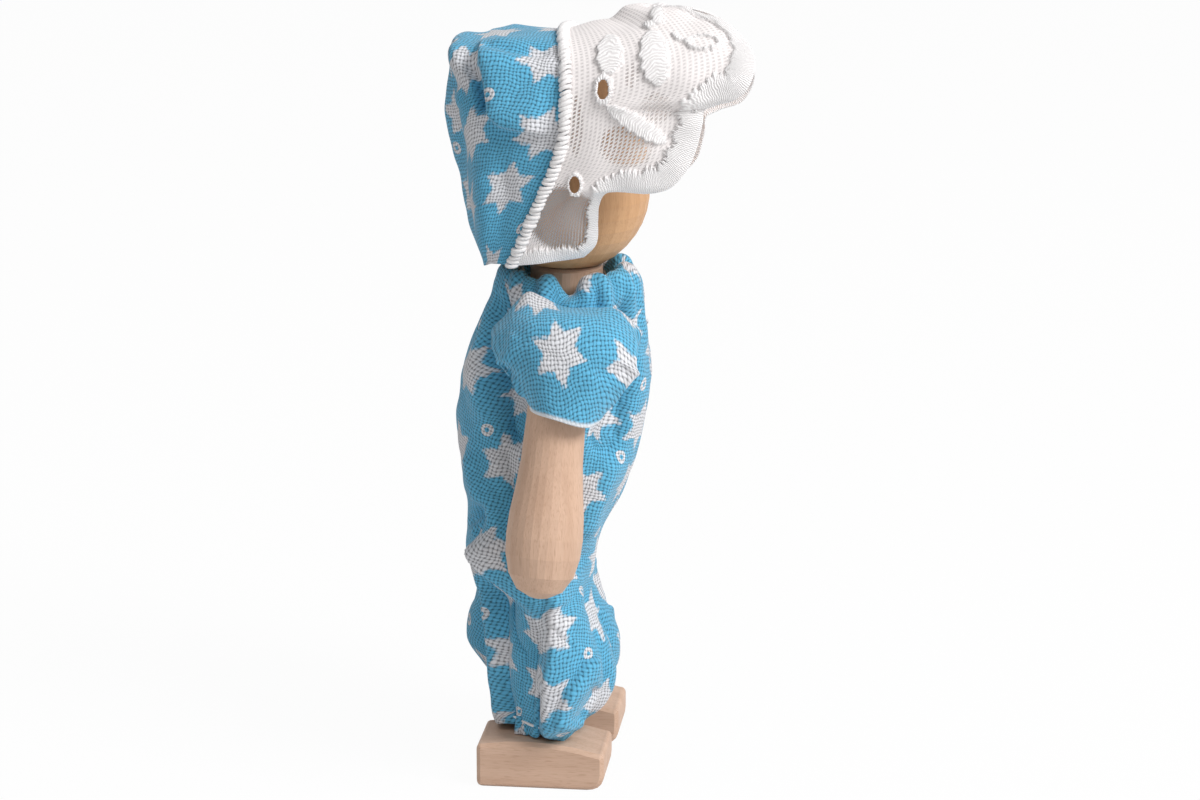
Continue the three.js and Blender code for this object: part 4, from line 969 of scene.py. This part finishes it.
for leaf_y, leaf_z, half_long, half_wide, lean in LACE_LEAVES:
    away_y = lace_y - leaf_y
    away_z = lace_z - leaf_z
    length = away_y * math.cos(lean) + away_z * math.sin(lean)
    width = away_z * math.cos(lean) - away_y * math.sin(lean)
    taper = np.clip(1.0 - np.abs(length / half_long) ** 2.4, 0.0, 1.0) ** 0.6
    ragged = 0.09 * np.sin(length * 19.0) + 0.12 * np.sin(length * 5.3 + leaf_y)
    taper = taper * (1.0 + ragged * np.where(width > 0, 1.0, -0.8))
    within = 1.0 - ease(np.abs(width), half_wide * taper - 0.18, half_wide * taper + 0.02)
    within *= np.abs(length) < half_long
    satin = np.maximum(satin, within)
    puff = np.maximum(puff, within * np.sqrt(np.clip(taper, 0, 1)))
    stitch = np.where(within > 0.3, length + 0.35 * np.abs(width), stitch)
hole = np.zeros(lace_y.shape, bool)
for eye_y, eye_z, half_high, half_wide, eye_rim, is_open in LACE_EYELETS:
    away = np.hypot((lace_y - eye_y) / half_wide, (lace_z - eye_z) / half_high)
    bearing_ = np.arctan2(lace_z - eye_z, lace_y - eye_y)
    mean = (half_high + half_wide) / 2
    frill_ = eye_rim * (1.0 + 0.14 * np.sin(9 * bearing_) + 0.1 * np.sin(17 * bearing_ + eye_y))
    rim = ease(away, 0.95, 1.05) * (1.0 - ease((away - 1) * mean, frill_ - 0.15, frill_))
    satin = np.maximum(satin, rim)
    puff = np.maximum(puff, rim)
    stitch = np.where(rim > 0.3, bearing_ * (mean + eye_rim / 2), stitch)
    if is_open:
        hole |= away < 1.0
lace_base = lace_grid.copy()
lace_facing = -grid_normals(lace_grid)
ripple = np.array([noise.noise(Vector(p) * RIPPLE_SCALE + Vector((0, 0, 9.0))) for p in flat_points])
ripple = ripple.reshape(lace_y.shape)
threads = 0.5 + 0.5 * np.cos(stitch * 2 * math.pi / (2 * SATIN_PITCH))
lace_rise = puff * PUFF_HIGH + satin * threads * THREAD_HIGH
lace_rise += ripple * RIPPLE_HIGH * ease(out[..., 0], 0.1, 0.5)
lace_grid += lace_facing * lace_rise[..., None]
lace_flat = flat_lengths(lace_base)
open_ = hole[:-1, :-1] | hole[1:, 1:] | hole[:-1, 1:] | hole[1:, :-1]
brim = cloth_piece("lace_brim_cloth", lace_grid, lace_flat, LACE_THICK, kept=~open_,
                   values={"satin": satin, "stitch": stitch, "sheer": sheer})

lawn, tree, surface = new_finish("white_lawn_lace")
flat_place = wire(tree, "ShaderNodeUVMap", uv_map="flat").outputs[0]
lawn_warp, lawn_weft, lawn_whole = threads_of(tree, flat_place, LAWN_PITCH)[1:]
lawn_top = sum_of(tree, "MAXIMUM", lawn_warp, lawn_weft)
sheer_here = wire(tree, "ShaderNodeAttribute", attribute_name="sheer").outputs["Fac"]
lawn_close = sum_of(tree, "SUBTRACT", lawn_top, ramp_of(tree, sheer_here, 0.9, 1.6, 0.0, 0.07))
lawn_gap = ramp_of(tree, lawn_close, 0.62, 0.92, 1.0, 0.0)
lawn_slub = wire(tree, "ShaderNodeTexWhiteNoise", {"Vector": lawn_whole}, noise_dimensions="2D")
lawn_share = ramp_of(tree, lawn_slub.outputs["Value"], 0.0, 1.0, 0.6, 1.15)
lawn_uneven = sum_of(tree, "MULTIPLY", sheer_here, lawn_share)
lawn_open = wire(tree, "ShaderNodeMath", {0: lawn_gap, 1: lawn_uneven},
                 operation="MULTIPLY", use_clamp=True).outputs[0]
satin_here = wire(tree, "ShaderNodeAttribute", attribute_name="satin").outputs["Fac"]
stitch_here = wire(tree, "ShaderNodeAttribute", attribute_name="stitch").outputs["Fac"]
stitch_stray = wire(tree, "ShaderNodeTexNoise", {"Vector": flat_place, "Scale": 0.9, "Detail": 3.0})
stitch_phase = sum_of(tree, "MULTIPLY_ADD", stitch_here, 2 * math.pi / SATIN_PITCH, sum_of(
    tree, "MULTIPLY", stitch_stray.outputs["Fac"], 14.0))
stitch_wave = sum_of(tree, "MULTIPLY_ADD", sum_of(tree, "COSINE", stitch_phase), 0.5, 0.5)
plain_share = sum_of(tree, "SUBTRACT", 1.0, satin_here)
lawn_holes = sum_of(tree, "MULTIPLY", lawn_open, plain_share)
# The lawn's raised threads are painted lighter than its dips, and the satin stitches are striped lighter and
# darker, as painted light; the most open patches are painted darker, partly for the thinner lawn and partly
# as painted shade.
lawn_dense = tint(tree, lawn_top, LAWN_SHADE, LAWN_LIGHT)
lawn_shaded_colour = scaled(tree, lawn_dense, ramp_of(tree, sheer_here, 0.8, 1.6, 1.0, 0.66))
satin_colour = tint(tree, stitch_wave, SATIN_SHADE, SATIN_LIGHT)
tree.links.new(tint(tree, satin_here, lawn_shaded_colour, satin_colour), surface.inputs["Base Color"])
lawn_thin = sum_of(tree, "MULTIPLY", ramp_of(tree, sheer_here, 0.7, 1.6, 0.0, 0.22), plain_share)
lawn_through = sum_of(tree, "ADD", lawn_holes, lawn_thin)
lawn_solid = wire(tree, "ShaderNodeMath", {0: 1.0, 1: lawn_through}, operation="SUBTRACT", use_clamp=True)
tree.links.new(lawn_solid.outputs[0], surface.inputs["Alpha"])
tree.links.new(ramp_of(tree, satin_here, 0.0, 1.0, 0.85, 0.42), surface.inputs["Roughness"])
lace_height = sum_of(tree, "ADD",
                     sum_of(tree, "MULTIPLY", stitch_wave, satin_here),
                     sum_of(tree, "MULTIPLY", lawn_top, plain_share))
lace_bump = wire(tree, "ShaderNodeBump", {"Strength": 0.5, "Distance": 0.0001, "Height": lace_height})
tree.links.new(lace_bump.outputs[0], surface.inputs["Normal"])
surface.inputs["Sheen Weight"].default_value = 0.15
brim.data.materials.append(lawn)
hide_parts("lace_brim")
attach(brim, "head")


# An overlocked seam joins the lace to the cap: a thick white thread wound over the raw edges.
# Each stitch is a short slanting loop, drawn tight beside the next.
STITCH_PITCH = 0.58
STITCH_ACROSS = 0.50
STITCH_HIGH = 0.42
STITCH_RADIUS = 0.29
STITCH_SLANT = 0.26
STITCH_SIDES = 8
STITCH_STEPS = 9
STITCH_PROUD = 0.2
SEAM_END = 0.2
HEAD_MIDDLE = (0.0, 4.0, 78.0)
seam_fine = seam_at(np.linspace(0.0, 1.0, 1500))
seam_run = np.concatenate([[0.0], np.cumsum(np.linalg.norm(np.diff(seam_fine, axis=0), axis=1))])
stitch_places = np.arange(SEAM_END, seam_run[-1] - SEAM_END, STITCH_PITCH)
stitch_middle = np.stack([np.interp(stitch_places, seam_run, seam_fine[:, k]) for k in range(3)], axis=1)
stitch_along = np.gradient(stitch_middle, axis=0)
stitch_along /= np.linalg.norm(stitch_along, axis=1, keepdims=True)
outward = stitch_middle - np.array(HEAD_MIDDLE)
outward -= stitch_along * np.sum(outward * stitch_along, axis=1, keepdims=True)
outward[:, 1] = 0.0
outward /= np.linalg.norm(outward, axis=1, keepdims=True)
stitch_across = np.cross(stitch_along, outward)
arc = np.linspace(-0.15, math.pi + 0.15, STITCH_STEPS)
jitter = np.random.default_rng(7)
stitches = []
for k in range(len(stitch_middle)):
    lean = STITCH_SLANT * (1.0 + 0.5 * jitter.uniform(-1, 1))
    wide = STITCH_ACROSS * (1.0 + 0.2 * jitter.uniform(-1, 1))
    high = STITCH_HIGH * (1.0 + 0.25 * jitter.uniform(-1, 1))
    path = (stitch_middle[k] + outward[k] * (STITCH_PROUD + high * np.sin(arc))[:, None]
            + stitch_across[k] * (wide * np.cos(arc))[:, None]
            + stitch_along[k] * (lean * np.cos(arc))[:, None])
    thick = STITCH_RADIUS * (1.0 + 0.15 * jitter.uniform(-1, 1))
    stitches.append(tube(path, stitch_along[k], thick, STITCH_SIDES))
overlock = thread_piece("overlock_seam", stitches)
overlock.data.materials.append(thread_white)
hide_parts("brim_seam_thread")
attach(overlock, "head")


# The stage is a plain pale floor under soft studio light, with the key at the doll's front.
# The camera stands at the doll's right side, a little forward and above.
def aimed(obj, target):
    """Turns a lamp or camera to look at a point."""
    obj.rotation_euler = (Vector(target) - obj.location).to_track_quat("-Z", "Y").to_euler()
    return obj


def seen_of(tree):
    """One where the camera sees the stage, straight or through a shiny or clear piece."""
    rays = wire(tree, "ShaderNodeLightPath").outputs
    return sum_of(tree, "MAXIMUM", rays["Is Camera Ray"], sum_of(
        tree, "MAXIMUM", rays["Is Glossy Ray"], rays["Is Transmission Ray"]))


FLOOR_HALF = 3.0
floor_mesh = bpy.data.meshes.new("studio_floor")
floor_mesh.from_pydata([(-FLOOR_HALF, -FLOOR_HALF, 0), (FLOOR_HALF, -FLOOR_HALF, 0),
                        (FLOOR_HALF, FLOOR_HALF, 0), (-FLOOR_HALF, FLOOR_HALF, 0)], [], [(0, 1, 2, 3)])
studio_floor = bpy.data.objects.new("studio_floor", floor_mesh)
bpy.context.collection.objects.link(studio_floor)
pale, tree, surface = new_finish("pale_floor")
surface.inputs["Base Color"].default_value = (0.82, 0.82, 0.82, 1)
surface.inputs["Roughness"].default_value = 0.9
glow = wire(tree, "ShaderNodeEmission", {"Color": (1, 1, 1, 1), "Strength": 1.0})
floor_mix = wire(tree, "ShaderNodeMixShader", {
    0: sum_of(tree, "MULTIPLY", seen_of(tree), 0.96), 1: surface.outputs[0], 2: glow.outputs[0]})
tree.links.new(floor_mix.outputs[0], tree.nodes["Material Output"].inputs["Surface"])
floor_mesh.materials.append(pale)

world = bpy.data.worlds.new("studio")
bpy.context.scene.world = world
world.use_nodes = True
tree = world.node_tree
tree.links.new(ramp_of(tree, seen_of(tree), 0.0, 1.0, 0.34, 1.0), tree.nodes["Background"].inputs["Strength"])
tree.nodes["Background"].inputs["Color"].default_value = (1, 1, 1, 1)

for lamp_name, power, size, spot in (
        ("front_key", 6.2, 0.32, (-0.26, -0.54, 0.60)),
        ("top_fill", 0.5, 0.6, (-0.30, 0.10, 0.70))):
    lamp_data = bpy.data.lights.new(lamp_name, "AREA")
    lamp_data.energy = power
    lamp_data.size = size
    lamp = bpy.data.objects.new(lamp_name, lamp_data)
    lamp.location = spot
    bpy.context.collection.objects.link(aimed(lamp, (0.0, 0.0, 0.05)))

camera_data = bpy.data.cameras.new("photo_camera")
camera_data.lens = 101.04
camera_data.sensor_width = 36.0
camera_data.clip_start = 0.01
photo_camera = bpy.data.objects.new("photo_camera", camera_data)
photo_camera.location = (-0.4042, -0.0464, 0.1515)
bpy.context.collection.objects.link(aimed(photo_camera, (0.0, -0.00031, 0.0469)))
bpy.context.scene.camera = photo_camera
bpy.context.scene.view_settings.view_transform = "Standard"
